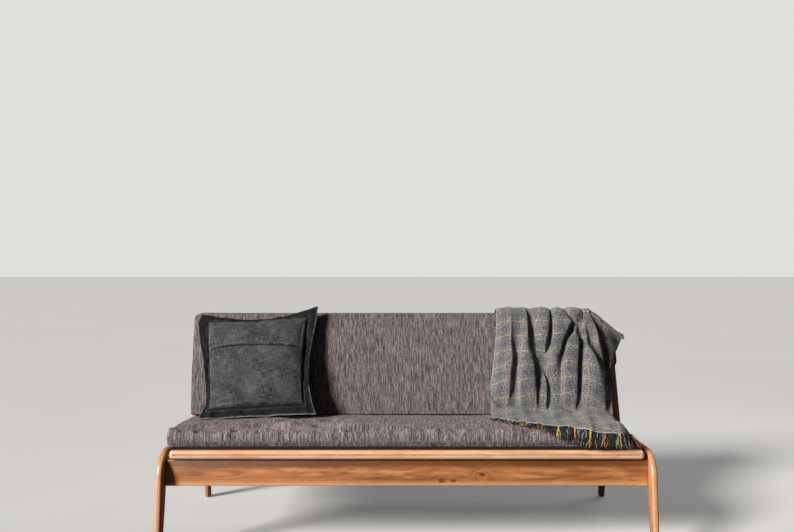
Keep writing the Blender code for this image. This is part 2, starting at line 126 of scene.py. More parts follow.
class Paint:
    """A material in the making: one Principled shader and the nodes that feed it."""

    def __init__(self, name: str) -> None:
        """Starts a material with that name.

        Args:
            name: The material's name.
        """
        self.material = bpy.data.materials.new(name)
        self.material.use_nodes = True
        self.tree = self.material.node_tree
        self.shader = self.tree.nodes["Principled BSDF"]

    def feed(self, socket: bpy.types.NodeSocket, value: object) -> None:
        """Links a wire to a socket, or sets the socket's own value.

        Args:
            socket: The socket.
            value: A wire, a number or a colour.
        """
        if isinstance(value, Wire):
            self.tree.links.new(value.socket, socket)
        else:
            socket.default_value = value

    def add(self, kind: str, settings: dict | None = None, inputs: dict | None = None) -> bpy.types.Node:
        """Adds any node.

        Args:
            kind: The node's type.
            settings: Its properties, set before its sockets.
            inputs: A value or a wire for each named or numbered socket.

        Returns:
            The node.
        """
        node = self.tree.nodes.new(kind)
        for key, value in (settings or {}).items():
            setattr(node, key, value)
        for key, value in (inputs or {}).items():
            self.feed(node.inputs[key], value)
        return node

    def wire(self, node: bpy.types.Node, output: str | int = 0) -> Wire:
        """One of a node's outputs, as a wire."""
        return Wire(self, node.outputs[output])

    def math(self, operation: str, *values: "Wire | float") -> Wire:
        """A Math node's result for some values."""
        return self.wire(self.add("ShaderNodeMath", {"operation": operation}, dict(enumerate(values))))

    def rise(self, value: Wire, low: float, high: float) -> Wire:
        """A smooth step: 0 below the low limit and 1 above the high one.

        Args:
            value: What is stepped.
            low: The low limit.
            high: The high limit.

        Returns:
            The step.
        """
        settings = {"interpolation_type": "SMOOTHSTEP"}
        inputs = {"Value": value, "From Min": low, "From Max": high}
        return self.wire(self.add("ShaderNodeMapRange", settings, inputs))

    def mix(self, share: "Wire | float", first: object, second: object) -> Wire:
        """A colour between two, by a share from 0 to 1."""
        node = self.add("ShaderNodeMix", {"data_type": "RGBA"}, {0: share, 6: first, 7: second})
        return self.wire(node, 2)

    def strengthen(self, colour: Wire, factor: Wire) -> Wire:
        """A colour made lighter or darker by a factor."""
        node = self.add("ShaderNodeVectorMath", {"operation": "SCALE"}, {0: colour, "Scale": factor})
        return self.wire(node)

    def split(self, vector: Wire) -> tuple[Wire, Wire, Wire]:
        """The three numbers of a vector."""
        node = self.add("ShaderNodeSeparateXYZ", inputs={0: vector})
        return self.wire(node, 0), self.wire(node, 1), self.wire(node, 2)

    def noise(self, vector: Wire, stretch: Numbers, detail: float = 2.0, rough: float = 0.5) -> Wire:
        """Smooth noise from 0 to 1.

        Args:
            vector: The coordinates, in metres.
            stretch: The noise's cells per metre along each axis.
            detail: How many finer layers it has.
            rough: How strong they are.

        Returns:
            The wire of its value.
        """
        settings = {"operation": "MULTIPLY"}
        cells = self.wire(self.add("ShaderNodeVectorMath", settings, {0: vector, 1: stretch}))
        inputs = {"Vector": cells, "Scale": 1.0, "Detail": detail, "Roughness": rough}
        return self.wire(self.add("ShaderNodeTexNoise", {"noise_dimensions": "3D"}, inputs))

    def stripe(self, place: Wire, spacing: float, width: float, start: float = 0.0) -> Wire:
        """Lines at an even spacing, 1 on a line and 0 between.

        Args:
            place: The place across the lines.
            spacing: From one line to the next.
            width: A line's width.
            start: The place of one line.

        Returns:
            The lines.
        """
        share = self.math("FRACT", (place - start) / spacing + 0.5)
        off = self.math("ABSOLUTE", share - 0.5) * spacing
        return 1 - self.rise(off, 0.3 * width, 0.7 * width)

    def ribs(self, cloth: Wire, pitch: float) -> Wire:
        """The height of a plain weave, from -1 to 1, by the pitch of its yarns."""
        across, along, _ = self.split(cloth)
        return self.math("SINE", across * (TAU / pitch)) * self.math("SINE", along * (TAU / pitch))

    def bump(self, height: Wire, depth: float, strength: float = 1.0) -> Wire:
        """A normal from a height that runs from 0 to 1 over a depth in metres."""
        inputs = {"Strength": strength, "Distance": depth, "Height": height}
        return self.wire(self.add("ShaderNodeBump", inputs=inputs), "Normal")

    def attribute(self, name: str, output: str) -> Wire:
        """An attribute of the piece's mesh."""
        settings = {"attribute_type": "GEOMETRY", "attribute_name": name}
        return self.wire(self.add("ShaderNodeAttribute", settings), output)

    def weave(self) -> Wire:
        """The piece's own cloth coordinates, in metres: across, and along the warp."""
        return self.wire(self.add("ShaderNodeUVMap", {"uv_map": WEAVE}))

    def place(self) -> Wire:
        """The point's place in the sofa's frame."""
        return self.wire(self.add("ShaderNodeTexCoord"), "Object")

    def done(self, **sockets: object) -> bpy.types.Material:
        """Feeds the shader's sockets, each named with its spaces as underscores.

        Args:
            sockets: A value or a wire for each socket.

        Returns:
            The finished material.
        """
        for key, value in sockets.items():
            self.feed(self.shader.inputs[key.replace("_", " ")], value)
        return self.material


@dataclass(frozen=True)
class Knot:
    """A knot in a board: its place along and across the grain, and its radius."""

    along: float
    across: float
    radius: float


@dataclass(frozen=True)
class Wood:
    """Oiled knotty softwood, cut from a trunk whose heart lies behind the board's face."""

    name: str
    early: Colour
    late: Colour
    stain: Colour = (0.095, 0.028, 0.006, 1.0)
    stained: float = 0.65
    flame: Colour = (0.58, 0.255, 0.095, 1.0)
    flamed: float = 0.70
    sapwood: Colour = (0.72, 0.34, 0.14, 1.0)
    sap_edge: float | None = None
    # Painted shadow: the across-grain place of the top edge; under it the board is darkened as shade from the
    # part above.
    painted_shadow_edge: float | None = None
    heart: float = 0.070
    ring: float = 0.0050
    run_out: float = 0.016
    rough: float = 0.40
    knots: tuple[Knot, ...] = ()
    knot_colour: Colour = (0.060, 0.020, 0.009, 1.0)

    def make(self) -> bpy.types.Material:
        """The material, which reads a board's grain attribute.

        Returns:
            The finished material.
        """
        p = Paint(self.name)
        grain = p.attribute(GRAIN, "Vector")
        along, across, through = p.split(grain)
        sway = p.noise(grain, (1.5, 5.0, 5.0), 1.0) - 0.5
        ripple = p.noise(grain, (4.2, 22.0, 22.0), 2.0) - 0.5
        side = across + sway * 0.060
        deep = through + along * self.run_out + ripple * 0.015 + self.heart
        radius = p.math("SQRT", side * side + deep * deep)
        cores: list[Wire] = []
        crumb = p.noise(grain, (70.0, 120.0, 120.0), 3.0, 0.6) - 0.5
        for knot in self.knots:
            off_along = (along - knot.along) / (1.8 * knot.radius)
            off_across = (across - knot.across) / knot.radius
            away = off_along * off_along + off_across * off_across
            radius = radius + p.math("EXPONENT", away * -0.30) * (1.3 * knot.radius)
            cores.append(1 - p.rise(away + crumb * 2.6, 0.10, 1.3))
        turn = p.math("FRACT", radius / self.ring)
        late = p.rise(turn, 0.25, 0.90) * (1 - p.rise(turn, 0.91, 1.0))
        fibre = p.noise(grain, (16.0, 480.0, 480.0), 2.0, 0.6)
        streak = p.noise(grain, (2.4, 70.0, 70.0), 4.0, 0.62)
        patch = p.noise(grain, (3.0, 13.0, 13.0), 3.0, 0.55)
        cloud = p.noise(grain, (1.2, 6.0, 6.0), 2.0)
        tone = late * 0.50 + p.rise(streak, 0.42, 0.72) * 0.50
        colour = p.mix(tone, self.early, self.late)
        colour = p.mix(p.rise(patch * 0.6 + cloud * 0.4, 0.44, 0.66) * self.stained, colour, self.stain)
        curl = p.noise(grain, (7.0, 24.0, 24.0), 4.0, 0.65)
        bright = p.rise(p.noise(grain, (2.8, 34.0, 34.0), 3.0, 0.6) * 0.5 + curl * 0.5, 0.47, 0.66)
        colour = p.mix(bright * self.flamed, colour, self.flame)
        if self.sap_edge is not None:
            edge = across + ripple * 0.012
            low = 1 - p.rise(edge, self.sap_edge - 0.004, self.sap_edge + 0.022)
            colour = p.mix(low * 0.70, colour, self.sapwood)
        # Painted shadow: just under the board's top edge the colour darkens to the stain colour, standing for
        # the shadow of the lip above.
        if self.painted_shadow_edge is not None:
            gathered = p.rise(across + ripple * 0.012, self.painted_shadow_edge - 0.020, self.painted_shadow_edge + 0.002)
            colour = p.mix(gathered * 0.85, colour, self.stain)
        for core in cores:
            colour = p.mix(core * 0.75, colour, self.knot_colour)
        colour = p.strengthen(colour, 0.74 + patch * 0.22 + fibre * 0.30)
        relief = fibre * 0.6 + (1 - late) * 0.4
        return p.done(
            Base_Color=colour,
            Roughness=self.rough + fibre * 0.12 - patch * 0.06,
            Normal=p.bump(relief, 0.00025, 0.8),
            Coat_Weight=0.40,
            Coat_Roughness=0.27,
        )


@dataclass(frozen=True)
class Tweed:
    """Sofa cloth with slubs that run up and down; where a cushion marks its underside, the cloth is painted
    near black as shade.
    """

    name: str
    dark: Colour = (0.014, 0.0110, 0.0115, 1.0)
    light: Colour = (0.218, 0.176, 0.163, 1.0)
    painted_underside_shade: Colour = (0.0030, 0.0028, 0.0030, 1.0)
    pitch: float = 0.0024

    def make(self) -> bpy.types.Material:
        """The material, which reads a cushion's cloth coordinates.

        Returns:
            The finished material.
        """
        p = Paint(self.name)
        cloth = p.weave()
        slub = p.noise(cloth, (300.0, 25.0, 1.0), 3.0, 0.70)
        band = p.noise(cloth, (120.0, 8.0, 1.0), 3.0, 0.6)
        yarn = p.noise(cloth, (900.0, 120.0, 1.0), 2.0)
        weft = p.noise(cloth, (90.0, 700.0, 1.0), 1.0)
        patch = p.noise(cloth, (9.0, 6.0, 1.0), 2.0)
        tone = p.rise(slub * 0.48 + band * 0.20 + yarn * 0.22 + weft * 0.10, 0.410, 0.625)
        colour = p.mix(tone, self.dark, self.light)
        colour = p.strengthen(colour, 0.84 + patch * 0.32)
        # Painted shade: faces marked as underside take a near-black colour, standing for the shadow in the
        # gap under the seat cushion's front edge.
        colour = p.mix(p.attribute(UNDERSIDE_SHADE, "Fac"), colour, self.painted_underside_shade)
        relief = slub * 0.5 + yarn * 0.3 + (p.ribs(cloth, self.pitch) * 0.5 + 0.5) * 0.2
        return p.done(
            Base_Color=colour,
            Roughness=0.96 - tone * 0.10,
            Normal=p.bump(relief, 0.0014, 0.9),
            Sheen_Weight=0.04,
            Sheen_Roughness=0.5,
        )


@dataclass(frozen=True)
class Linen:
    """Plain charcoal cloth with a close weave, faded lighter along its edges, and painted darker as shade in
    its seams, on its flange, under the opening's flap and in the tuck.
    """

    name: str
    dark: Colour = (0.0040, 0.0040, 0.0045, 1.0)
    light: Colour = (0.102, 0.103, 0.107, 1.0)
    worn: Colour = (0.190, 0.190, 0.195, 1.0)
    pitch: float = 0.0017

    def make(self) -> bpy.types.Material:
        """The material, which reads the cushion's cloth coordinates.

        Returns:
            The finished material.
        """
        p = Paint(self.name)
        cloth = p.weave()
        warp = p.noise(cloth, (650.0, 30.0, 1.0), 2.0)
        weft = p.noise(cloth, (30.0, 650.0, 1.0), 2.0)
        fade = p.noise(cloth, (14.0, 14.0, 1.0), 3.0, 0.6)
        tone = p.rise(warp * 0.38 + weft * 0.38 + fade * 0.24, 0.36, 0.68)
        relief = (warp + weft) * 0.4 + p.ribs(cloth, self.pitch) * 0.1
        wear = p.attribute(WEAR_AND_SHADE, "Fac")
        colour = p.mix(tone, self.dark, self.light)
        # A high wear value lightens the cloth: along the faded edges, inside the seam and along the flap's
        # edge.
        colour = p.mix(p.rise(wear + fade * 0.5, 0.62, 1.25) * 0.8, colour, self.worn)
        # Painted shade: a low wear value darkens the cloth to near black, in the seams, on the flange, under
        # the flap and in the tuck.
        colour = p.mix(p.rise(wear * -1.0, 0.15, 0.85) * 0.95, colour, self.dark)
        return p.done(
            Base_Color=colour,
            Roughness=0.92 - tone * 0.1,
            Normal=p.bump(relief, 0.0007, 0.9),
            Specular_IOR_Level=0.15,
            Sheen_Weight=0.02,
            Sheen_Roughness=0.4,
        )


@dataclass(frozen=True)
class CheckedWool:
    """Heathered grey wool with a windowpane check of thin coloured lines."""

    name: str
    dark: Colour = (0.010, 0.011, 0.012, 1.0)
    light: Colour = (0.256, 0.259, 0.258, 1.0)
    yellow: Colour = (0.60, 0.37, 0.10, 1.0)
    orange: Colour = (0.58, 0.27, 0.08, 1.0)
    shade: Colour = (0.030, 0.031, 0.036, 1.0)
    across_spacing: float = 0.072
    along_spacing: float = 0.0675
    line: float = 0.0024
    first_across: float = 0.0045
    first_along: float = 0.0215
    selvedge: Colour = (0.40, 0.405, 0.40, 1.0)

    def make(self) -> bpy.types.Material:
        """The material, which reads the sheet's flat coordinates.

        Returns:
            The finished material.
        """
        p = Paint(self.name)
        cloth = p.weave()
        across, along, _ = p.split(cloth)
        heather = p.noise(cloth, (330.0, 330.0, 1.0), 3.0, 0.75)
        fleck = p.noise(cloth, (170.0, 210.0, 1.0), 2.0, 0.6)
        twill = p.math("SINE", (across + along) * (TAU / 0.0034)) * 0.5 + 0.5
        tone = p.rise(heather * 0.50 + fleck * 0.42 + twill * 0.08, 0.41, 0.60)
        colour = p.mix(tone, self.dark, self.light)
        half = self.across_spacing / 2
        bands = p.stripe(across, self.across_spacing, 0.026, self.first_across + half)
        bands = bands + p.stripe(along, self.along_spacing, 0.020, self.first_along + half) * 0.7
        colour = p.mix(bands * 0.30, colour, self.shade)
        broken = p.rise(p.noise(cloth, (220.0, 220.0, 1.0), 2.0, 0.6), 0.34, 0.60)
        weft_line = p.stripe(along, self.along_spacing, self.line, self.first_along) * broken
        colour = p.mix(weft_line * 0.72, colour, self.yellow)
        pair = 2 * self.across_spacing
        for start, thread in ((self.first_across, self.yellow), (self.first_across + pair / 2, self.orange)):
            warp_line = p.stripe(across, pair, self.line, start) * broken
            colour = p.mix(warp_line * 0.62, colour, thread)
        hem = 1 - p.rise(p.attribute(HEM, "Fac"), 0.0015, 0.0050)
        colour = p.mix(hem * 0.75, colour, self.selvedge)
        return p.done(
            Base_Color=colour,
            Roughness=0.97 - heather * 0.08,
            Normal=p.bump(heather * 0.7 + twill * 0.3, 0.0012, 0.9),
            Specular_IOR_Level=0.25,
            Sheen_Weight=0.14,
            Sheen_Roughness=0.45,
        )


@dataclass(frozen=True)
class FringeYarn:
    """Twisted fringe yarn, mostly near black, with some yellow and orange strands."""

    name: str
    black: Colour = (0.008, 0.008, 0.009, 1.0)
    grey: Colour = (0.30, 0.30, 0.29, 1.0)
    yellow: Colour = (0.60, 0.38, 0.08, 1.0)
    orange: Colour = (0.62, 0.22, 0.05, 1.0)

    def make(self) -> bpy.types.Material:
        """The material, which reads each strand's shade from 0 to 1.

        Returns:
            The finished material.
        """
        p = Paint(self.name)
        shade = p.attribute(SHADE, "Fac")
        wool = p.noise(p.place(), (700.0, 700.0, 700.0), 2.0)
        colour = p.mix(p.rise(shade, 0.55, 0.66), self.black, self.grey)
        colour = p.mix(p.rise(shade, 0.80, 0.82), colour, self.yellow)
        colour = p.mix(p.rise(shade, 0.92, 0.94), colour, self.orange)
        return p.done(
            Base_Color=p.strengthen(colour, 0.70 + wool * 0.6),
            Roughness=0.95 - wool * 0.1,
            Normal=p.bump(wool, 0.0006, 0.8),
        )


@dataclass(frozen=True)
class BronzedMetal:
    """Dark metal, rubbed brighter in places."""

    name: str
    dark: Colour = (0.035, 0.028, 0.022, 1.0)
    rubbed: Colour = (0.24, 0.17, 0.11, 1.0)

    def make(self) -> bpy.types.Material:
        """The material.

        Returns:
            The finished material.
        """
        p = Paint(self.name)
        wear = p.rise(p.noise(p.place(), (260.0, 260.0, 260.0), 4.0, 0.6), 0.50, 0.72)
        grit = p.noise(p.place(), (2400.0, 2400.0, 2400.0), 1.0)
        return p.done(
            Base_Color=p.mix(wear * 0.7, self.dark, self.rubbed),
            Metallic=1.0,
            Roughness=0.46 - wear * 0.16 + grit * 0.06,
            Normal=p.bump(grit, 0.00004, 0.6),
        )


@dataclass(frozen=True)
class Felt:
    """Pressed wool felt."""

    name: str
    dark: Colour = (0.34, 0.28, 0.21, 1.0)
    light: Colour = (0.62, 0.55, 0.44, 1.0)

    def make(self) -> bpy.types.Material:
        """The material.

        Returns:
            The finished material.
        """
        p = Paint(self.name)
        fluff = p.noise(p.place(), (900.0, 900.0, 900.0), 4.0, 0.7)
        return p.done(
            Base_Color=p.mix(p.rise(fluff, 0.35, 0.65), self.dark, self.light),
            Roughness=0.98 - fluff * 0.05,
            Normal=p.bump(fluff, 0.0008, 0.9),
            Sheen_Weight=0.3,
        )


@dataclass(frozen=True)
class PaleFloor:
    """A plain pale studio floor, which throws little light back up."""

    name: str
    colour: Colour = (0.52, 0.515, 0.50, 1.0)
    glow: Colour = (0.12, 0.12, 0.118, 1.0)
    bounce: Colour = (0.065, 0.060, 0.055, 1.0)

    def make(self) -> bpy.types.Material:
        """The material.

        Returns:
            The finished material.
        """
        p = Paint(self.name)
        cloud = p.noise(p.place(), (0.7, 0.7, 0.7), 3.0)
        base = p.strengthen(p.mix(cloud, self.colour, self.colour), 0.97 + cloud * 0.06)
        p.done(Base_Color=base, Roughness=0.62 + cloud * 0.1, Emission_Color=self.glow, Emission_Strength=1.0)
        dull = p.wire(p.add("ShaderNodeBsdfDiffuse", inputs={"Color": self.bounce}))
        seen = p.wire(p.add("ShaderNodeLightPath"), "Is Camera Ray")
        both = p.add("ShaderNodeMixShader", inputs={0: seen, 1: dull, 2: p.wire(p.shader)})
        p.feed(p.tree.nodes["Material Output"].inputs["Surface"], p.wire(both))
        return p.material


@dataclass(frozen=True)
class Lines:
    """The sofa's side view, which its soft pieces follow."""

    deck_slope: float = math.radians(3.0)
    deck_front_y: float = -0.375
    deck_front_z: float = 0.3865
    seat_low_y: float = -0.385
    seat_high_y: float = 0.108
    seat_thick: float = 0.0746
    seat_crown: float = 0.008
    back_lean: float = math.radians(20.5)
    post_foot_y: float = 0.107
    rail_top: float = 0.381
    back_thick: float = 0.135
    back_bulge: float = 0.010
    back_top: float = 0.480

    def seat_z(self, y: float) -> float:
        """Height of the seat cushion's crowned top.

        Args:
            y: The place from front to back.

        Returns:
            The height there.
        """
        middle = (self.seat_low_y + self.seat_high_y) / 2
        reach = (self.seat_high_y - self.seat_low_y) / 2
        deck = self.deck_front_z - math.tan(self.deck_slope) * (y - self.deck_front_y)
        return deck + self.seat_thick + self.seat_crown * (1 - ((y - middle) / reach) ** 2)

    def back_point(self, out: float, along: float) -> tuple[float, float]:
        """The (y, z) of a point of the back: out in front of the posts, along up the lean.

        Args:
            out: The distance in front.
            along: The distance up the lean.

        Returns:
            Its y and z.
        """
        lean = self.back_lean
        y = self.post_foot_y + along * math.sin(lean) - out * math.cos(lean)
        return y, self.rail_top + along * math.cos(lean) + out * math.sin(lean)


LINES = Lines()


@dataclass(frozen=True)
class Lodging:
    """The space of a CAD node, as a box in a frame that is turned as the piece is."""

    size: Vector
    place: Matrix

    @classmethod
    def of(cls, node: str, turn: Euler = Euler(), sideways: float = 0.0) -> "Lodging":
        """Measures a node.

        Args:
            node: The CAD node.
            turn: How the piece is turned.
            sideways: How far the piece is pushed along X for each metre of height.

        Returns:
            The box's size, and the matrix that takes the box's own frame to the sofa's, without the push.
        """
        matrix = turn.to_matrix().to_4x4()
        back = matrix.inverted()
        points = []
        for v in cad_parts[node].data.vertices:
            straight = Vector((v.co.x - sideways * v.co.z, v.co.y, v.co.z))
            points.append(back @ straight)
        low = Vector([min(p[i] for p in points) for i in range(3)])
        high = Vector([max(p[i] for p in points) for i in range(3)])
        return cls(high - low, matrix @ Matrix.Translation((low + high) / 2))


def only(obj: bpy.types.Object) -> None:
    """Selects one object and makes it the active one.

    Args:
        obj: The object.
    """
    bpy.ops.object.select_all(action="DESELECT")
    obj.select_set(True)
    bpy.context.view_layer.objects.active = obj


def finish_modifier(obj: bpy.types.Object, kind: str, **settings: object) -> None:
    """Adds a modifier with its settings and applies it.

    Args:
        obj: The piece.
        kind: The modifier's type.
        settings: Its properties.
    """
    modifier = obj.modifiers.new(kind.lower(), kind)
    for key, value in settings.items():
        setattr(modifier, key, value)
    only(obj)
    bpy.ops.object.modifier_apply(modifier=modifier.name)


def ease(obj: bpy.types.Object, width: float, segments: int = 3) -> None:
    """Rounds the sharp edges of a piece."""
    limit = {"limit_method": "ANGLE", "angle_limit": SHARP}
    finish_modifier(obj, "BEVEL", width=width, segments=segments, harden_normals=False, **limit)


def smooth(obj: bpy.types.Object, degrees: float = 40.0) -> None:
    """Shades a piece smooth except at its sharp edges."""
    only(obj)
    bpy.ops.object.shade_smooth_by_angle(angle=math.radians(degrees))


def primitive(name: str, kind: str, **settings: object) -> bpy.types.Object:
    """Adds a primitive with nothing else selected; its place and size go into its mesh.

    Args:
        name: The new object's name.
        kind: The primitive, such as cube.
        settings: The operator's settings.

    Returns:
        The new object.
    """
    bpy.ops.object.select_all(action="DESELECT")
    getattr(bpy.ops.mesh, f"primitive_{kind}_add")(**settings)
    obj = bpy.context.object
    obj.name = name
    bpy.ops.object.transform_apply(location=True, rotation=True, scale=True)
    return obj


def block(name: str, size: Vector) -> bpy.types.Object:
    """A block of that size about the origin of its own frame, ready to be shaped."""
    return primitive(name, "cube", size=1, scale=size)


def settle(obj: bpy.types.Object, place: Matrix) -> None:
    """Moves a shaped piece to its place, which goes into its mesh.

    Args:
        obj: The piece.
        place: Its own frame in the sofa's.
    """
    obj.matrix_world = place
    only(obj)
    bpy.ops.object.transform_apply(location=True, rotation=True, scale=True)


@contextmanager
def editing(obj: bpy.types.Object, kind: str, test: Callable[..., bool]) -> Iterator[bmesh.types.BMesh]:
    """Opens a mesh in edit mode with some of its parts selected, and closes it at the end.

    Args:
        obj: The piece.
        kind: VERT, EDGE or FACE.
        test: Called with a point, with an edge's two ends, or with a face's centre and normal; true
            selects it.

    Yields:
        The open mesh.
    """
    only(obj)
    bpy.ops.object.mode_set(mode="EDIT")
    bpy.ops.mesh.select_mode(type=kind)
    bpy.ops.mesh.select_all(action="DESELECT")
    shape = bmesh.from_edit_mesh(obj.data)
    if kind == "FACE":
        chosen = [face for face in shape.faces if test(face.calc_center_median(), face.normal)]
    elif kind == "EDGE":
        chosen = [edge for edge in shape.edges if test(*(v.co for v in edge.verts))]
    else:
        chosen = [v for v in shape.verts if test(v.co)]
    for part in chosen:
        part.select_set(True)
    if kind == "VERT":
        shape.select_flush_mode()
    bmesh.update_edit_mesh(obj.data)
    yield shape
    bpy.ops.object.mode_set(mode="OBJECT")


def divide(obj: bpy.types.Object, axis: int, parts: int) -> None:
    """Cuts a block into equal parts along one of its own axes.

    Args:
        obj: The block.
        axis: The axis.
        parts: How many parts.
    """
    others = [i for i in range(3) if i != axis]
    with editing(obj, "EDGE", lambda a, b: all(abs(a[i] - b[i]) < TINY for i in others)):
        bpy.ops.mesh.subdivide(number_cuts=parts - 1)


def copy_piece(obj: bpy.types.Object, name: str, shift: Vector) -> bpy.types.Object:
    """A copy of a finished piece with its own mesh, moved by a shift.

    Args:
        obj: The piece.
        name: The copy's name.
        shift: How far it moves.

    Returns:
        The copy.
    """
    copy = bpy.data.objects.new(name, obj.data.copy())
    copy.data.name = name
    copy.data.transform(Matrix.Translation(shift))
    bpy.context.scene.collection.objects.link(copy)
    return copy


def rows(items: bpy.types.bpy_prop_collection, key: str) -> np.ndarray:
    """A vector of each of a mesh's items, as rows of numbers.

    Args:
        items: The items.
        key: The name of their vector.

    Returns:
        The rows.
    """
    values = np.zeros(len(items) * 3, np.float32)
    items.foreach_get(key, values)
    return values.reshape(-1, 3).astype(float)


def coordinates(obj: bpy.types.Object) -> np.ndarray:
    """The points of a mesh as rows of numbers."""
    return rows(obj.data.vertices, "co")


def at_rest(obj: bpy.types.Object) -> np.ndarray:
    """The points of a sewn cover before it was shaped, as rows of numbers."""
    return rows(obj.data.attributes[REST].data, "vector")


def move_points(obj: bpy.types.Object, points: np.ndarray) -> None:
    """Sets the points of a mesh."""
    obj.data.vertices.foreach_set("co", points.astype(np.float32).ravel())
    obj.data.update()


def write_vectors(obj: bpy.types.Object, name: str, values: np.ndarray) -> None:
    """Writes a vector for each point of a mesh into an attribute."""
    layer = obj.data.attributes.get(name) or obj.data.attributes.new(name, "FLOAT_VECTOR", "POINT")
    layer.data.foreach_set("vector", values.astype(np.float32).ravel())


def write_numbers(obj: bpy.types.Object, name: str, domain: str, values: Sequence[float]) -> None:
    """Writes a number for each point, edge or face of a mesh into an attribute."""
    obj.data.attributes.new(name, "FLOAT", domain).data.foreach_set("value", [float(v) for v in values])


def trunk_place(seed: int, side: float, shallow: float, deep: float) -> np.ndarray:
    """Picks by a seed where in a trunk a board is cut: along, across and through the grain."""
    draw = random.Random(seed)
    return np.array((draw.uniform(3, 60), draw.uniform(-side, side), draw.uniform(shallow, deep)))


def lay_grain(obj: bpy.types.Object, order: Sequence[int], seed: int) -> None:
    """Runs the grain of a board along one of its own axes.

    Args:
        obj: The board, still in its own frame.
        order: The axes that are along, across and through the grain.
        seed: Picks the stretch of trunk that the board is cut from; 0 starts at its middle.
    """
    start = trunk_place(seed, 0.03, -0.01, 0.02) if seed else np.zeros(3)
    write_vectors(obj, GRAIN, coordinates(obj)[:, list(order)] + start)


def shift_grain(obj: bpy.types.Object, seed: int) -> None:
    """Moves the grain of a copied board to another stretch of trunk."""
    grain = rows(obj.data.attributes[GRAIN].data, "vector")
    write_vectors(obj, GRAIN, grain + trunk_place(seed, 0.025, -0.008, 0.015))


def dress(obj: bpy.types.Object, finish: bpy.types.Material, slot: Slot, *nodes: str) -> None:
    """Gives a finished piece its material and body, and hides the CAD nodes that it stands for.

    Args:
        obj: The piece.
        finish: Its material.
        slot: Not used.
        nodes: The CAD nodes that it stands for, if any.
    """
    obj.data.materials.clear()
    obj.data.materials.append(finish)
    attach(obj, "root")
    if nodes:
        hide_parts(*nodes)
    log.info("%s: %d faces", obj.name, len(obj.data.polygons))


def rounded(corners: Sequence[Numbers], steps: int) -> list[Vector]:
    """An open line whose corners, each (a, b, radius), are turned into arcs.

    Args:
        corners: The corner points in order, each with the radius of its arc.
        steps: The number of chords in each arc.

    Returns:
        The line's points. The first and last corners stay sharp.
    """
    points = []
    for i, (a, b, radius) in enumerate(corners):
        if i in (0, len(corners) - 1):
            points.append(Vector((a, b)))
            continue
        corner = Vector((a, b))
        before = (Vector(corners[i - 1][:2]) - corner).normalized()
        after = (Vector(corners[i + 1][:2]) - corner).normalized()
        half = before.angle(after) / 2
        centre = corner + (before + after).normalized() * radius / math.sin(half)
        start = corner + before * radius / math.tan(half) - centre
        end = corner + after * radius / math.tan(half) - centre
        first = math.atan2(start.y, start.x)
        sweep = (math.atan2(end.y, end.x) - first + math.pi) % TAU - math.pi
        for step in range(steps + 1):
            turn = first + sweep * step / steps
            points.append(centre + Vector((math.cos(turn), math.sin(turn))) * radius)
    return points


def read(curve: Curve, place: float) -> float:
    """The value of a curve at a place along it."""
    return float(np.interp(place, *zip(*curve)))


def unit(values: np.ndarray) -> np.ndarray:
    """Numbers kept between 0 and 1."""
    return np.clip(values, 0, 1)


def bell(values: np.ndarray | float) -> np.ndarray | float:
    """A bell curve: 1 at 0, and falling off on both sides."""
    return np.exp(-(values**2))


def wave(*place: float) -> float:
    """Smooth noise from about -1 to 1 at a place."""
    return noise.noise(Vector(place))


def waves(*axes: np.ndarray | float) -> np.ndarray:
    """Smooth noise from about -1 to 1 at places given by their rows of coordinates."""
    return np.array([wave(*place) for place in np.broadcast(*axes)])


@dataclass
class Guide:
    """A line in the YZ plane that knows how long it is."""

    points: list[Vector]
    lengths: list[float] = field(init=False)

    def __post_init__(self) -> None:
        """Adds up the line's lengths."""
        self.lengths = [0.0]
        for a, b in zip(self.points, self.points[1:]):
            self.lengths.append(self.lengths[-1] + (b - a).length)

    @property
    def length(self) -> float:
        """The whole length."""
        return self.lengths[-1]

    def at(self, goal: float) -> tuple[Vector, Vector]:
        """The point at a distance along the line, and the line's direction there.

        Args:
            goal: The distance, in metres.

        Returns:
            The point and the direction.
        """
        i = min(len(self.points) - 2, max(0, bisect_right(self.lengths, goal) - 1))
        share = (goal - self.lengths[i]) / (self.lengths[i + 1] - self.lengths[i])
        run = self.points[i + 1] - self.points[i]
        last = len(self.points) - 2
        if share < 0.5 and i:
            other, part = self.points[i] - self.points[i - 1], 0.5 - share
        elif share > 0.5 and i < last:
            other, part = self.points[i + 2] - self.points[i + 1], share - 0.5
        else:
            other, part = run, 0.0
        direction = run.normalized() * (1 - part) + other.normalized() * part
        return self.points[i] + run * share, direction.normalized()

    def nearest(self, point: Vector) -> tuple[float, float]:
        """How far along the line a point lies, and how far to its left.

        Args:
            point: The point, as its (y, z).

        Returns:
            The distance along and the distance to the left.
        """
        best = (math.inf, 0.0, 0.0)
        for i, (a, b) in enumerate(zip(self.points, self.points[1:])):
            run = b - a
            share = min(1.0, max(0.0, (point - a).dot(run) / run.length_squared))
            off = point - a - run * share
            if off.length < best[0]:
                side = (run.x * off.y - run.y * off.x) / run.length
                best = (off.length, self.lengths[i] + run.length * share, side)
        return best[1], best[2]


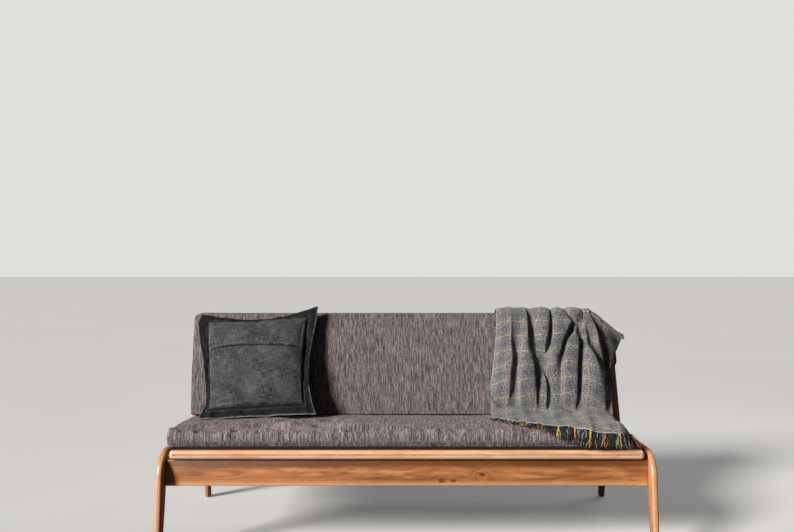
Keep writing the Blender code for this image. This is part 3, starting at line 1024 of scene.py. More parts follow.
@dataclass
class SideFrames:
    """The two bent side frames, each one plank, and the posts that stand on them."""

    wood: bpy.types.Material
    foot_depth: float = 0.046
    knee_z: float = 0.28
    knee_y: float = 0.405
    knee_depth: float = 0.076
    rail_height: float = 0.062
    corner_radius: float = 0.10
    inner_radius: float = 0.060
    arc_steps: int = 16
    long_round: float = 0.0085
    edge: float = 0.0035
    post_length: float = 0.445
    post_foot_depth: float = 0.060
    post_top_depth: float = 0.042
    post_front_round: float = 0.012
    post_rear_round: float = 0.018
    post_gap: float = 0.0003

    def rings(self) -> list[list[Vector]]:
        """The four-cornered sections of the left frame, from the front foot to the rear one.

        Returns:
            Each section's corners, at the outer line and then at the inner one.
        """
        low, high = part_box("leg_front_left")
        foot_y, foot_z, top = -low.y, low.z, high.z
        rise = self.knee_z
        lean = (foot_y - self.knee_y) / rise
        taper = (foot_y - self.foot_depth - self.knee_y + self.knee_depth) / rise
        under = top - self.rail_height
        outer = [(foot_y, foot_z, 0.0), (foot_y - lean * top, top, self.corner_radius), (0.0, top, 0.0)]
        inner_foot = foot_y - self.foot_depth
        inner = [
            (inner_foot, foot_z, 0.0),
            (inner_foot - taper * under, under, self.inner_radius),
            (0.0, under, 0.0),
        ]
        pairs = list(zip(rounded(outer, self.arc_steps), rounded(inner, self.arc_steps)))
        front = [(Vector((-a.x, a.y)), Vector((-b.x, b.y))) for a, b in pairs]
        whole = front + pairs[-2::-1]
        return [
            [Vector((x, p.x, p.y)) for x, p in ((low.x, a), (high.x, a), (high.x, b), (low.x, b))]
            for a, b in whole
        ]

    def bend_frame(self, rings: list[list[Vector]]) -> bpy.types.Object:
        """Extrudes a section through the rings, from one to the next, as one bent plank.

        Args:
            rings: The sections, in order.

        Returns:
            The left frame, its edges still sharp.
        """
        obj = primitive("side_frame_left", "plane", size=1)
        for v, point in zip((obj.data.vertices[i] for i in (0, 1, 3, 2)), rings[0]):
            v.co = point
        with editing(obj, "VERT", lambda co: True):
            for before, after in zip(rings, rings[1:]):
                bpy.ops.mesh.extrude_region_move()
                shape = bmesh.from_edit_mesh(obj.data)
                for v in [v for v in shape.verts if v.select]:
                    v.co = after[min(range(4), key=lambda i: (before[i] - v.co).length)]
                bmesh.update_edit_mesh(obj.data)
            bpy.ops.mesh.select_all(action="SELECT")
            bpy.ops.mesh.normals_make_consistent(inside=False)
        return obj

    def round_edges(self, obj: bpy.types.Object) -> None:
        """Rounds the plank's long edges, but not those round its feet.

        Args:
            obj: The left frame.
        """
        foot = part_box("leg_front_left")[0].z + NEAR
        with editing(obj, "EDGE", lambda a, b: False) as shape:
            bpy.ops.mesh.edges_select_sharp(sharpness=SHARP)
            for edge in shape.edges:
                if max(v.co.z for v in edge.verts) < foot:
                    edge.select = False
            bmesh.update_edit_mesh(obj.data)
            bpy.ops.mesh.bevel(offset=self.long_round, segments=5, affect="EDGES")

    def follow_bend(self, obj: bpy.types.Object, rings: list[list[Vector]], seed: int) -> None:
        """Runs the grain round the bent plank.

        Args:
            obj: The left frame.
            rings: Its sections.
            seed: The stretch of trunk that it is cut from.
        """
        guide = Guide([Vector(((r[0].y + r[2].y) / 2, (r[0].z + r[2].z) / 2)) for r in rings])
        grain = []
        for x, y, z in coordinates(obj):
            along, across = guide.nearest(Vector((y, z)))
            grain.append((along, across, x - rings[0][0].x))
        write_vectors(obj, GRAIN, np.array(grain))
        shift_grain(obj, seed)

    def build_post(self) -> bpy.types.Object:
        """The left post: a tapered plank, its foot cut level and its top rounded.

        Returns:
            The finished piece.
        """
        low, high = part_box("back_post_left")
        lean = LINES.back_lean
        size = Vector((high.x - low.x, self.post_foot_depth, self.post_length))
        post = block("back_post_left_wood", size)
        rear, top = size.y / 2 - NEAR, size.z / 2 - NEAR
        with editing(post, "EDGE", lambda a, b: min(a.y, b.y) > rear and min(a.z, b.z) > top):
            bpy.ops.transform.translate(value=(0, self.post_top_depth - self.post_foot_depth, 0))
        with editing(post, "EDGE", lambda a, b: min(a.y, b.y) > rear and max(a.z, b.z) < -top):
            bpy.ops.transform.translate(value=(0, 0, self.post_foot_depth * math.tan(lean)))
        for front, radius in ((True, self.post_front_round), (False, self.post_rear_round)):
            with editing(post, "EDGE", lambda a, b: min(a.z, b.z) > top and (a.y < 0) == front == (b.y < 0)):
                bpy.ops.mesh.bevel(offset=radius, segments=8, affect="EDGES")
        ease(post, self.edge)
        lay_grain(post, (2, 1, 0), 31)
        smooth(post)
        foot = self.post_gap / math.cos(lean)
        y, z = LINES.back_point(-self.post_foot_depth / 2, foot + self.post_length / 2)
        settle(post, Matrix.Translation(((low.x + high.x) / 2, y, z)) @ Matrix.Rotation(-lean, 4, "X"))
        return post

    def build(self) -> None:
        """Builds both frames and both posts."""
        rings = self.rings()
        left = self.bend_frame(rings)
        self.round_edges(left)
        ease(left, self.edge)
        self.follow_bend(left, rings, 11)
        smooth(left)
        across = Vector((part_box("leg_front_right")[0].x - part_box("leg_front_left")[0].x, 0, 0))
        right = copy_piece(left, "side_frame_right", across)
        shift_grain(right, 12)
        left_post = self.build_post()
        right_post = copy_piece(left_post, "back_post_right_wood", across)
        shift_grain(right_post, 13)
        for side, plank, post in (("left", left, left_post), ("right", right, right_post)):
            legs = (f"leg_front_{side}", f"side_rail_{side}", f"leg_rear_{side}")
            dress(plank, self.wood, Slot.WOOD, *legs)
            dress(post, self.wood, Slot.WOOD, f"back_post_{side}")


@dataclass
class Boards:
    """The straight boards: apron, lip, stretcher, beams, rails and slats."""

    wood: bpy.types.Material
    apron_wood: bpy.types.Material
    lip_wood: bpy.types.Material
    pale_wood: bpy.types.Material
    edge: float = 0.0040
    small_edge: float = 0.0025
    lip_round: float = 0.012
    lip_rim: float = 0.0030
    lip_scratch: float = 0.0012
    lip_groove: float = 0.0050
    deck_slats: int = 13
    back_slats: int = 11
    slat_seed: int = 40

    def board(self, node: str, lean: float, edge: float, order: Sequence[int], seed: int) -> bpy.types.Object:
        """A straight board in the space of a CAD node.

        Args:
            node: The node.
            lean: How far the board's top leans back.
            edge: The width of its rounded edges.
            order: Its own axes along, across and through the grain.
            seed: The stretch of trunk that it is cut from.

        Returns:
            The finished mesh.
        """
        lodging = Lodging.of(node, Euler((-lean, 0, 0)))
        obj = block(f"{node}_wood", lodging.size)
        ease(obj, edge)
        lay_grain(obj, order, seed)
        smooth(obj)
        settle(obj, lodging.place)
        return obj

    def lip(self) -> bpy.types.Object:
        """The rounded lip, with a shallow line scratched along the middle of its nose.

        Returns:
            The finished piece.
        """
        lodging = Lodging.of("deck_lip", Euler((-LINES.deck_slope, 0, 0)))
        obj = block("deck_lip_wood", lodging.size)
        ease(obj, self.lip_round, 6)
        nose = -lodging.size.y / 2 + NEAR
        with editing(obj, "FACE", lambda middle, normal: middle.y < nose):
            bpy.ops.mesh.inset(thickness=self.lip_rim, use_boundary=True)
            bpy.ops.mesh.inset(thickness=self.lip_scratch, use_boundary=True)
            bpy.ops.transform.translate(value=(0, self.lip_groove, 0))
        lay_grain(obj, (0, 2, 1), 5)
        smooth(obj, 50)
        settle(obj, lodging.place)
        return obj

    def row(
        self, stem: str, count: int, lean: float, order: Sequence[int], finish: bpy.types.Material, slot: Slot
    ) -> None:
        """A row of equal slats, modelled once and copied to each node's place.

        Args:
            stem: The start of the nodes' names.
            count: How many slats there are.
            lean: How far their tops lean back.
            order: Their axes along, across and through the grain.
            finish: Their material.
            slot: Their slot.
        """
        first = self.board(f"{stem}_01", lean, self.small_edge, order, self.slat_seed)
        dress(first, finish, slot, f"{stem}_01")
        for i in range(2, count + 1):
            node = f"{stem}_{i:02d}"
            slat = copy_piece(first, f"{node}_wood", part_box(node)[0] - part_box(f"{stem}_01")[0])
            shift_grain(slat, self.slat_seed + 7 * i + count)
            dress(slat, finish, slot, node)

    def build(self) -> None:
        """Builds every straight board."""
        lean = LINES.back_lean
        plain = (
            ("apron_front", 0.0, self.edge, 0, self.apron_wood, Slot.WOOD),
            ("stretcher_rear", 0.0, self.edge, 3, self.apron_wood, Slot.WOOD),
            ("back_rail_bottom", lean, self.edge, 21, self.wood, Slot.WOOD),
            ("back_rail_top", lean, self.edge, 22, self.wood, Slot.WOOD),
            ("slat_ledger", 0.0, self.small_edge, 23, self.pale_wood, Slot.PALE_WOOD),
            ("slat_beam", 0.0, self.small_edge, 24, self.pale_wood, Slot.PALE_WOOD),
        )
        for node, tilt, edge, seed, finish, slot in plain:
            dress(self.board(node, tilt, edge, (0, 2, 1), seed), finish, slot, node)
        dress(self.lip(), self.lip_wood, Slot.WOOD, "deck_lip")
        slope = LINES.deck_slope
        self.row("deck_slat", self.deck_slats, slope, (1, 0, 2), self.pale_wood, Slot.PALE_WOOD)
        self.row("back_slat", self.back_slats, lean, (2, 0, 1), self.wood, Slot.WOOD)


@dataclass
class Fittings:
    """The bolt heads in the side frames and the felt glides under the feet."""

    metal: bpy.types.Material
    felt: bpy.types.Material
    rim: float = 0.0009
    socket_share: float = 0.46
    socket_depth: float = 0.0018
    glide_edge: float = 0.0008
    face_slack: float = 1e-5

    def bolt(self, node: str) -> bpy.types.Object:
        """A round bolt head with a six-sided socket, at a left-hand node.

        Args:
            node: The CAD node.

        Returns:
            The finished piece.
        """
        low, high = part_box(node)
        centre, radius = (low + high) / 2, (high.y - low.y) / 2
        size = {"vertices": 36, "radius": radius, "depth": high.x - low.x}
        obj = primitive(f"{node}_head", "cylinder", location=centre, rotation=(0, -math.pi / 2, 0), **size)
        outer, sixth = low.x + self.face_slack, math.pi / 6
        with editing(obj, "EDGE", lambda a, b: max(a.x, b.x) < outer):
            bpy.ops.mesh.bevel(offset=self.rim, segments=4, affect="EDGES")
        with editing(obj, "FACE", lambda middle, normal: middle.x < outer):
            bpy.ops.mesh.inset(thickness=(radius - self.rim) * (1 - self.socket_share))
            shape = bmesh.from_edit_mesh(obj.data)
            for v in [v for v in shape.verts if v.select]:
                turn = math.atan2(v.co.z - centre.z, v.co.y - centre.y)
                flat = abs((turn % (2 * sixth)) - sixth)
                reach = radius * self.socket_share * math.cos(sixth) / math.cos(sixth - flat)
                v.co = (v.co.x, centre.y + reach * math.cos(turn), centre.z + reach * math.sin(turn))
            bmesh.update_edit_mesh(obj.data)
            bpy.ops.mesh.extrude_region_move(TRANSFORM_OT_translate={"value": (self.socket_depth, 0, 0)})
        smooth(obj, 35)
        return obj

    def glide(self, node: str) -> bpy.types.Object:
        """A felt disc with softened rims.

        Args:
            node: The CAD node.

        Returns:
            The finished piece.
        """
        low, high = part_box(node)
        size = {"vertices": 40, "radius": (high.y - low.y) / 2, "depth": high.z - low.z}
        obj = primitive(f"{node}_felt", "cylinder", location=(low + high) / 2, **size)
        ease(obj, self.glide_edge, 3)
        smooth(obj)
        return obj

    def build(self) -> None:
        """Models one glide and one bolt, and copies them to each node's place."""
        corners = ("front_left", "front_right", "rear_left", "rear_right")
        first = "glide_front_left"
        glide = self.glide(first)
        for node in (f"glide_{corner}" for corner in corners):
            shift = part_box(node)[0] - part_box(first)[0]
            piece = glide if node == first else copy_piece(glide, f"{node}_felt", shift)
            dress(piece, self.felt, Slot.FELT, node)
        first = "bolt_front_left_1"
        bolt = self.bolt(first)
        middle = sum(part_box(first), Vector()) / 2
        for node in (f"bolt_{corner}_{number}" for corner in corners for number in (1, 2)):
            piece = bolt
            if node != first:
                piece = copy_piece(bolt, f"{node}_head", -middle)
                if "right" in node:
                    piece.data.transform(Matrix.Rotation(math.pi, 4, "Z"))
                piece.data.transform(Matrix.Translation(sum(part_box(node), Vector()) / 2))
            dress(piece, self.metal, Slot.DARK_METAL, node)


def sew(obj: bpy.types.Object) -> None:
    """Marks a block's panels, its cloth coordinates and its points at rest, in its own frame.

    The panels are the block's sides. The warp runs up the front, over the top and along the ends.

    Args:
        obj: The block.
    """
    mesh = obj.data
    panels = mesh.attributes.new(PANEL, "INT", "FACE")
    layer = mesh.uv_layers.new(name=WEAVE)
    for face in mesh.polygons:
        axis = max(range(3), key=lambda i: abs(face.normal[i]))
        panels.data[face.index].value = 2 * axis + (1 if face.normal[axis] > 0 else 0)
        across, along = ((1, 2), (0, 2), (0, 1))[axis]
        for loop in face.loop_indices:
            co = mesh.vertices[mesh.loops[loop].vertex_index].co
            layer.data[loop].uv = (co[across] + PANEL_SHIFT[0] * axis, co[along] + PANEL_SHIFT[1] * axis)
    write_vectors(obj, REST, coordinates(obj))


def seam_points(obj: bpy.types.Object) -> np.ndarray:
    """Which points of a sewn cover lie on a seam, where two panels meet.

    Args:
        obj: The cover.

    Returns:
        True for each point on a seam.
    """
    mesh = obj.data
    panels = mesh.attributes[PANEL].data
    first = np.full(len(mesh.vertices), -1)
    seams = np.zeros(len(mesh.vertices), bool)
    for face in mesh.polygons:
        panel = panels[face.index].value
        for v in face.vertices:
            seams[v] |= first[v] not in (-1, panel)
            first[v] = panel
    return seams


def group(obj: bpy.types.Object, name: str, chosen: np.ndarray) -> str:
    """Makes a vertex group of the chosen points.

    Args:
        obj: The piece.
        name: The group's name.
        chosen: True for each chosen point.

    Returns:
        The group's name.
    """
    made = obj.vertex_groups.new(name=name)
    made.add([int(i) for i in np.flatnonzero(chosen)], 1.0, "REPLACE")
    return name


@dataclass(frozen=True)
class Stuffing:
    """How a sewn cover is filled by a cloth simulation."""

    pressure: float = 4.0
    frames: int = 20
    reach: float = 0.016
    gather: float = 0.0
    bending: float = 0.4

    def swell(self, obj: bpy.types.Object, held: np.ndarray, seams: np.ndarray) -> None:
        """Blows the cover up with its seams gathered, and limits how far each point moves.

        Args:
            obj: The cover, a closed mesh.
            held: The points that rest on something and stay.
            seams: The points of the seams, which are shorter than the cloth beside them.
        """
        start = coordinates(obj)
        cloth = obj.modifiers.new("cloth", "CLOTH")
        settings = {
            "quality": 6,
            "mass": 0.25,
            "tension_stiffness": 18,
            "compression_stiffness": 12,
            "shear_stiffness": 6,
            "bending_stiffness": self.bending,
            "use_pressure": True,
            "uniform_pressure_force": self.pressure,
            "vertex_group_mass": group(obj, "held", held),
            "vertex_group_shrink": group(obj, "gathered", seams),
            "shrink_min": 0.0,
            "shrink_max": self.gather,
        }
        for key, value in settings.items():
            setattr(cloth.settings, key, value)
        cloth.settings.effector_weights.gravity = 0
        cloth.point_cache.frame_end = self.frames
        scene = bpy.context.scene
        for step in range(1, self.frames + 1):
            scene.frame_set(step)
        seen = obj.evaluated_get(bpy.context.evaluated_depsgraph_get())
        move = rows(seen.data.vertices, "co") - start
        obj.modifiers.remove(cloth)
        scene.frame_set(1)
        length = np.linalg.norm(move, axis=1)
        soft = self.reach * np.tanh(length / self.reach)
        move_points(obj, start + move * (soft / np.maximum(length, LEAST))[:, None])


@dataclass
class LongCushion:
    """A long boxed cushion in the space of its CAD node."""

    name: str
    node: str
    cloth: bpy.types.Material
    turn: Euler
    rests: Numbers
    sideways: float = 0.0
    rear_rise: float = 0.0
    cell: float = 0.0125
    start_inset: float = 0.001
    seam_crease: float = 0.75
    seam_stand: float = 0.0015
    gather_from: float = -0.85
    gather_to: float = 0.80
    gather_depth: float = 0.0022
    gather_reach: float = 0.040
    gather_fade: float = 0.018
    gather_edge: float = 0.030
    crease_depth: float = 0.0
    seat_place: float = -0.42
    seat_width: float = 0.26
    seat_reach: float = 0.30
    soft_corners: tuple[float, float] = (0.0, 0.0)
    front_lift: float = 0.0
    lift_reach: float = 0.040
    lift_height: float = 0.035
    end_bulge: float = 0.0
    stretch: tuple[float, float] = (0.0, 0.0)
    # Whether the underside panel is painted near black as shade.
    painted_underside_shade: bool = False
    squareness: float = 0.0
    end_reach: float = 0.05
    front_reach: float = 0.16
    stretch_reach: float = 0.30
    fill: float = 0.72
    stuffing: Stuffing = Stuffing()

    @cached_property
    def lodging(self) -> Lodging:
        """The space of the CAD node, with the cushion's lean taken out."""
        return Lodging.of(self.node, self.turn, self.sideways)

    def places(self, obj: bpy.types.Object) -> tuple[np.ndarray, np.ndarray, np.ndarray, Vector]:
        """The x, y and z of the cover's points at rest, and half of its size."""
        return *at_rest(obj).T, self.lodging.size / 2

    def cover(self) -> bpy.types.Object:
        """The sewn cover at rest, drawn onto the CAD solid's surface.

        Returns:
            The cover, in the sofa's frame.
        """
        size, half = self.lodging.size, self.lodging.size / 2
        obj = block(self.name, size)
        for axis in range(3):
            divide(obj, axis, max(2, round(size[axis] / self.cell)))
        points = coordinates(obj)
        share = (points[:, 1] + half.y) / size.y
        down = (half.z - points[:, 2]) / size.z
        points[:, 2] += self.rear_rise * share * down
        move_points(obj, points)
        sew(obj)
        settle(obj, self.lodging.place)
        lean = Matrix.Identity(4)
        lean[0][2] = self.sideways
        obj.data.transform(lean)
        square = coordinates(obj)
        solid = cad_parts[self.node]
        finish_modifier(obj, "SHRINKWRAP", target=solid, wrap_method="NEAREST_SURFACEPOINT")
        x, y, _, _ = self.places(obj)
        end = unit((np.abs(x) - half.x + 0.06) / self.end_reach)
        front = unit(1.2 - (y + half.y) / self.front_reach)
        points = coordinates(obj)
        move_points(obj, points + (square - points) * (self.squareness * end * front)[:, None])
        return obj

    def soften(self, obj: bpy.types.Object) -> None:
        """Rounds the upper corners, lifts the lower front edge and stretches the ends, as on worn foam.

        Args:
            obj: The cover.
        """
        x, y, z, half = self.places(obj)
        shift = np.zeros((len(x), 3))
        for side, radius in zip((-1, 1), self.soft_corners):
            if radius:
                out = np.maximum(side * x - half.x + radius, 0)
                up = np.maximum(z - half.z + radius, 0)
                reach = np.hypot(out, up)
                share = np.where(reach > 0, np.maximum(out, up) / np.maximum(reach, LEAST), 1.0) - 1
                shift[:, 0] += side * out * share
                shift[:, 2] += up * share
        ahead = y + half.y
        front = unit(1 - ahead / self.lift_reach) ** 2
        low = unit(1 - (z + half.z) / self.lift_height)
        shift[:, 2] += self.front_lift * front * low
        shift[:, 1] += self.front_lift * 0.6 * front * low
        end = unit((np.abs(x) - half.x) / self.end_reach + 1)
        middle = unit(1 - (z / half.z) ** 2)
        shift[:, 0] += np.sign(x) * self.end_bulge * unit(1 - ahead / self.front_reach) * end * middle
        near = unit(1.1 - ahead / 0.60)
        for side, out in zip((-1, 1), self.stretch):
            shift[:, 0] += side * out * unit((side * x - half.x) / self.stretch_reach + 1) ** 2 * near
        turned = shift @ np.array(self.lodging.place.to_3x3()).T
        turned[:, 0] += self.sideways * turned[:, 2]
        move_points(obj, coordinates(obj) + turned)

    def creases(self, obj: bpy.types.Object) -> np.ndarray:
        """How far each point stands in or out in the long wrinkles where people sit.

        Args:
            obj: The cover.

        Returns:
            A distance along each point's normal.
        """
        x, y, z, half = self.places(obj)
        top = unit((z - half.z + 0.004) / 0.003)
        worn = bell((x - self.seat_place) / self.seat_width) + 0.30
        ahead = unit(1 - (y + half.y) / self.seat_reach)
        ripples = waves(x * 8, y * 30 + 2 * x, 5.5) + 0.6 * waves(x * 17, y * 22, 1.5)
        return self.crease_depth * top * worn * (0.3 + ahead) * ripples

    def resting(self, obj: bpy.types.Object) -> np.ndarray:
        """The points of the side that lies on something."""
        reach = abs(Vector(self.rests).dot(self.lodging.size)) / 2
        return at_rest(obj) @ np.array(self.rests) > reach - 0.002

    def gathers(self, obj: bpy.types.Object) -> np.ndarray:
        """How far each point stands in or out in the puckers beside the front's upper seam.

        Args:
            obj: The cover.

        Returns:
            A distance along each point's normal.
        """
        x, y, z, half = self.places(obj)
        down = (half.z - z) / self.gather_reach
        ahead = y + half.y
        fade = bell(down) * bell(ahead / self.gather_fade)
        fade += 0.55 * bell(ahead / self.gather_edge) * (down < 0.05)
        some = 0.55 + 0.45 * waves(x * 5.0, 3.1, 0.37 * 3.1)
        inside = (x > self.gather_from) & (x < self.gather_to)
        ripples = waves((x + 0.15 * z) * 34.0, 7.7, 0.37 * 7.7) + 0.6 * waves(x * 75.0, 1.3, 0.37 * 1.3)
        return self.gather_depth * fade * some * ripples * inside

    def build(self) -> bpy.types.Object:
        """Sews, stuffs and finishes the cushion.

        Returns:
            The finished piece.
        """
        obj = self.cover()
        self.soften(obj)
        held, seams = self.resting(obj), seam_points(obj)
        inset = np.where(held, 0.0, self.start_inset)
        move_points(obj, coordinates(obj) - rows(obj.data.vertices, "normal") * inset[:, None])
        self.stuffing.swell(obj, held | seams, seams)
        sharp = [self.seam_crease * all(seams[v] for v in edge.vertices) for edge in obj.data.edges]
        write_numbers(obj, "crease_edge", "EDGE", sharp)
        finish_modifier(obj, "SUBSURF", levels=1, render_levels=1)
        held, seams = self.resting(obj), seam_points(obj)
        lift = self.gathers(obj) + self.creases(obj) + self.seam_stand * seams
        lift = np.where(held & ~seams, 0.0, lift)
        move_points(obj, coordinates(obj) + rows(obj.data.vertices, "normal") * lift[:, None])
        obj.data.shade_smooth()
        # Painted shade: the seat's underside panel is marked, so its cloth is painted near black as the
        # shadow under the cushion's front edge.
        under = [self.painted_underside_shade and panel.value == UNDER_PANEL for panel in obj.data.attributes[PANEL].data]
        write_numbers(obj, UNDERSIDE_SHADE, "FACE", under)
        dress(obj, self.cloth, Slot.SOFA_CLOTH, self.node)
        return obj


@dataclass
class LooseCushion:
    """The square black cushion with a flat flange and an overlapping opening across its front."""

    cloth: bpy.types.Material
    lean: float = math.radians(33.5)
    roll: float = math.radians(-3.0)
    flange: float = 0.040
    flange_thick: float = 0.005
    pinch: float = 0.048
    side_pinch: float = 0.028
    left_droop: float = 0.009
    shoulder: float = 2.4
    fullness: float = 0.42
    cells: int = 88
    start_share: float = 0.86
    opening: float = 0.20
    lap: float = 0.0045
    seam_press: float = 0.0045
    seam_width: float = 0.016
    flange_ripple: float = 0.010
    rumple: float = 0.0035
    opening_bow: float = 0.030
    flap_fade: float = 0.05
    flap_step: float = 0.006
    tuck_depth: float = 0.010
    tuck_width: float = 0.010
    tuck_reach: float = 0.09
    left_pull: Curve = (
        (-1.0, 0.026), (-0.93, 0.029), (-0.75, 0.038), (-0.60, 0.034), (-0.25, 0.012), (0.40, -0.020),
        (0.80, -0.024), (1.0, 0.000),
    )
    right_pull: Curve = (
        (-1.0, 0.004), (-0.85, -0.002), (-0.45, -0.006), (0.10, 0.004), (0.40, 0.012), (0.75, 0.016),
        (1.0, 0.008),
    )
    stuffing: Stuffing = Stuffing(reach=0.012, gather=0.06, bending=0.25)

    def shape(self, u: float, w: float, size: Vector) -> tuple[float, float, float, float]:
        """The cushion at a share across and up, each from -1 to 1.

        Args:
            u: The share across.
            w: The share up.
            size: The cover's size.

        Returns:
            Its place across and up, half its thickness there, and how stuffed it is from 0 to 1.
        """
        stuffed = 1 - 2 * self.flange / size.x
        fill_u = max(0.0, 1 - (abs(u) / stuffed) ** self.shoulder)
        fill_w = max(0.0, 1 - (abs(w) / stuffed) ** self.shoulder)
        puff = (fill_u * fill_w) ** self.fullness
        half = (self.flange_thick + (size.y * self.start_share - self.flange_thick) * puff) / 2
        sag = self.pinch * (1 - u * u) * max(0.0, w) ** 3
        waist = self.side_pinch * (1 - w * w) * abs(u) ** 3
        pull = read(self.left_pull if u < 0 else self.right_pull, w) * abs(u) ** 3
        droop = self.left_droop * max(0.0, -u) ** 6 * max(0.0, w) ** 6
        return u * (size.x / 2 - waist) + pull, w * (size.z / 2) - sag * w - droop, half, puff

    def build(self) -> bpy.types.Object:
        """Sews, stuffs and places the cushion.

        Returns:
            The finished piece.
        """
        lodging = Lodging.of("loose_cushion", Euler((-self.lean, self.roll, 0)))
        size = lodging.size
        obj = block("loose_cushion_cover", size)
        divide(obj, 0, self.cells)
        divide(obj, 2, self.cells)
        sew(obj)
        points, puffs = [], []
        for x, y, z in at_rest(obj):
            across, up, half, puff = self.shape(2 * x / size.x, 2 * z / size.z, size)
            points.append((across, math.copysign(half, y), up))
            puffs.append(puff)
        move_points(obj, np.array(points))
        puffs = np.array(puffs)
        self.stuffing.swell(obj, puffs < 0.02, (puffs < 0.30) & (puffs >= 0.02))
        finish_modifier(obj, "SUBSURF", levels=1, render_levels=1)
        self.crease(obj, size)
        obj.data.shade_smooth()
        settle(obj, lodging.place)
        dress(obj, self.cloth, Slot.DARK_CLOTH, "loose_cushion")
        return obj

    def crease(self, obj: bpy.types.Object, size: Vector) -> None:
        """Presses in the seam, ripples the flange and lays the opening's flap over its lower edge.

        Args:
            obj: The stuffed cover.
            size: The cover's size before it was stuffed.
        """
        points = coordinates(obj)
        stuffed = 1 - 2 * self.flange / size.x
        wear = []
        for point, (x, y, z) in zip(points, at_rest(obj)):
            u, w = 2 * x / size.x, 2 * z / size.z
            edge = max(abs(u), abs(w))
            face = math.copysign(1.0, y)
            outside = min(1.0, max(0.0, (edge - stuffed) / 0.05))
            ripples = wave(x * 15, z * 15, 4.2) + 0.5 * wave(x * 40, z * 40, 1)
            point[1] += self.flange_ripple * outside * ripples
            ripples = wave(x * 11, z * 11, 8.0) + 0.5 * wave(x * 27, z * 27, 3)
            point[1] -= face * self.rumple * (1 - outside) * ripples
            seam = bell((edge - stuffed) / self.seam_width)
            point[1] -= face * self.seam_press * seam * min(1.0, abs(y) / 0.002)
            # Wear value, where high lightens and low darkens: faded lighter along the outer edge, painted
            # darker as shade in the seam and on the flange.
            worn = 2.3 * bell((edge - 1) / self.seam_width) - seam - 0.85 * outside
            # A lighter band just inside the seam.
            worn += 0.55 * bell((edge - stuffed + 0.045) / self.seam_width)
            if y < 0 and edge < stuffed:
                over = (w - self.opening - self.opening_bow * math.sin(2.1 * u + 2.3)) * size.z / 2
                calm = min(1.0, (stuffed - edge) / 0.08)
                if over > 0:
                    point[1] -= self.lap * calm * math.exp(-over / self.flap_fade)
                    # A lighter line along the flap's edge.
                    worn += 0.6 * calm * bell((over - self.flap_step) / 0.004)
                else:
                    below = calm * math.exp(over / self.flap_step)
                    point[1] += self.lap * 1.6 * below
                    # Painted shade: the strip under the flap is darkened.
                    worn -= 1.2 * below
                tuck = bell(x / self.tuck_width) * bell((stuffed - w) / self.tuck_reach)
                point[1] += self.tuck_depth * tuck
                # Painted shade: the tuck is darkened.
                worn -= tuck
            wear.append(worn)
        move_points(obj, points)
        write_numbers(obj, WEAR_AND_SHADE, "POINT", wear)


@dataclass(frozen=True)
class Furrow:
    """A valley between two folds of the throw.

    Both lines are read by the distance ahead of the crest of the back: line gives the valley's place
    along X, and deep its share of the full depth.
    """

    line: Curve
    deep: Curve
    width: float

    def at(self, ahead: float) -> tuple[float, float]:
        """The valley's place and depth at a distance ahead of the crest."""
        depth = read(self.deep, ahead) * (math.exp(ahead / 0.12) if ahead < 0 else 1.0)
        return read(self.line, ahead), depth


FURROWS = (
    Furrow(((0.0, 0.489), (0.27, 0.460), (0.43, 0.448)),
           ((0.0, 0.15), (0.10, 0.35), (0.25, 0.80), (0.40, 0.60), (0.50, 0.20)), 0.0305),
    Furrow(((0.0, 0.537), (0.27, 0.547), (0.43, 0.553)),
           ((0.0, 0.75), (0.05, 1.0), (0.30, 1.0), (0.43, 0.60), (0.55, 0.20)), 0.0217),
    Furrow(((0.06, 0.560), (0.11, 0.567), (0.27, 0.583), (0.43, 0.598)),
           ((0.05, 0.0), (0.12, 0.60), (0.20, 0.95), (0.35, 0.90), (0.45, 0.30)), 0.0181),
    Furrow(((0.0, 0.628), (0.27, 0.603), (0.43, 0.592)),
           ((0.0, 0.90), (0.05, 1.0), (0.35, 1.0), (0.45, 0.50), (0.60, 0.10)), 0.0181),
    Furrow(((0.0, 0.683), (0.075, 0.718), (0.16, 0.675), (0.23, 0.654), (0.40, 0.640)),
           ((0.0, 0.80), (0.08, 1.0), (0.20, 0.90), (0.30, 0.50), (0.45, 0.20)), 0.0203),
    Furrow(((0.0, 0.762), (0.07, 0.755), (0.27, 0.731), (0.43, 0.715)),
           ((0.0, 0.40), (0.05, 0.90), (0.12, 1.0), (0.40, 1.0), (0.50, 0.30)), 0.0239),
    Furrow(((0.015, 0.776), (0.07, 0.785), (0.165, 0.795), (0.235, 0.812), (0.30, 0.822), (0.45, 0.830)),
           ((0.0, 0.45), (0.03, 0.90), (0.40, 0.90), (0.48, 0.10)), 0.0217),
    Furrow(((0.035, 0.825), (0.115, 0.840), (0.18, 0.858), (0.27, 0.858), (0.40, 0.850)),
           ((0.0, 0.35), (0.04, 0.90), (0.30, 1.0), (0.42, 0.40)), 0.0247),
    Furrow(((0.38, 0.350), (0.41, 0.366), (0.44, 0.392), (0.47, 0.425)),
           ((0.37, 0.0), (0.40, 1.0), (0.455, 1.0), (0.48, 0.0)), 0.0120),
)


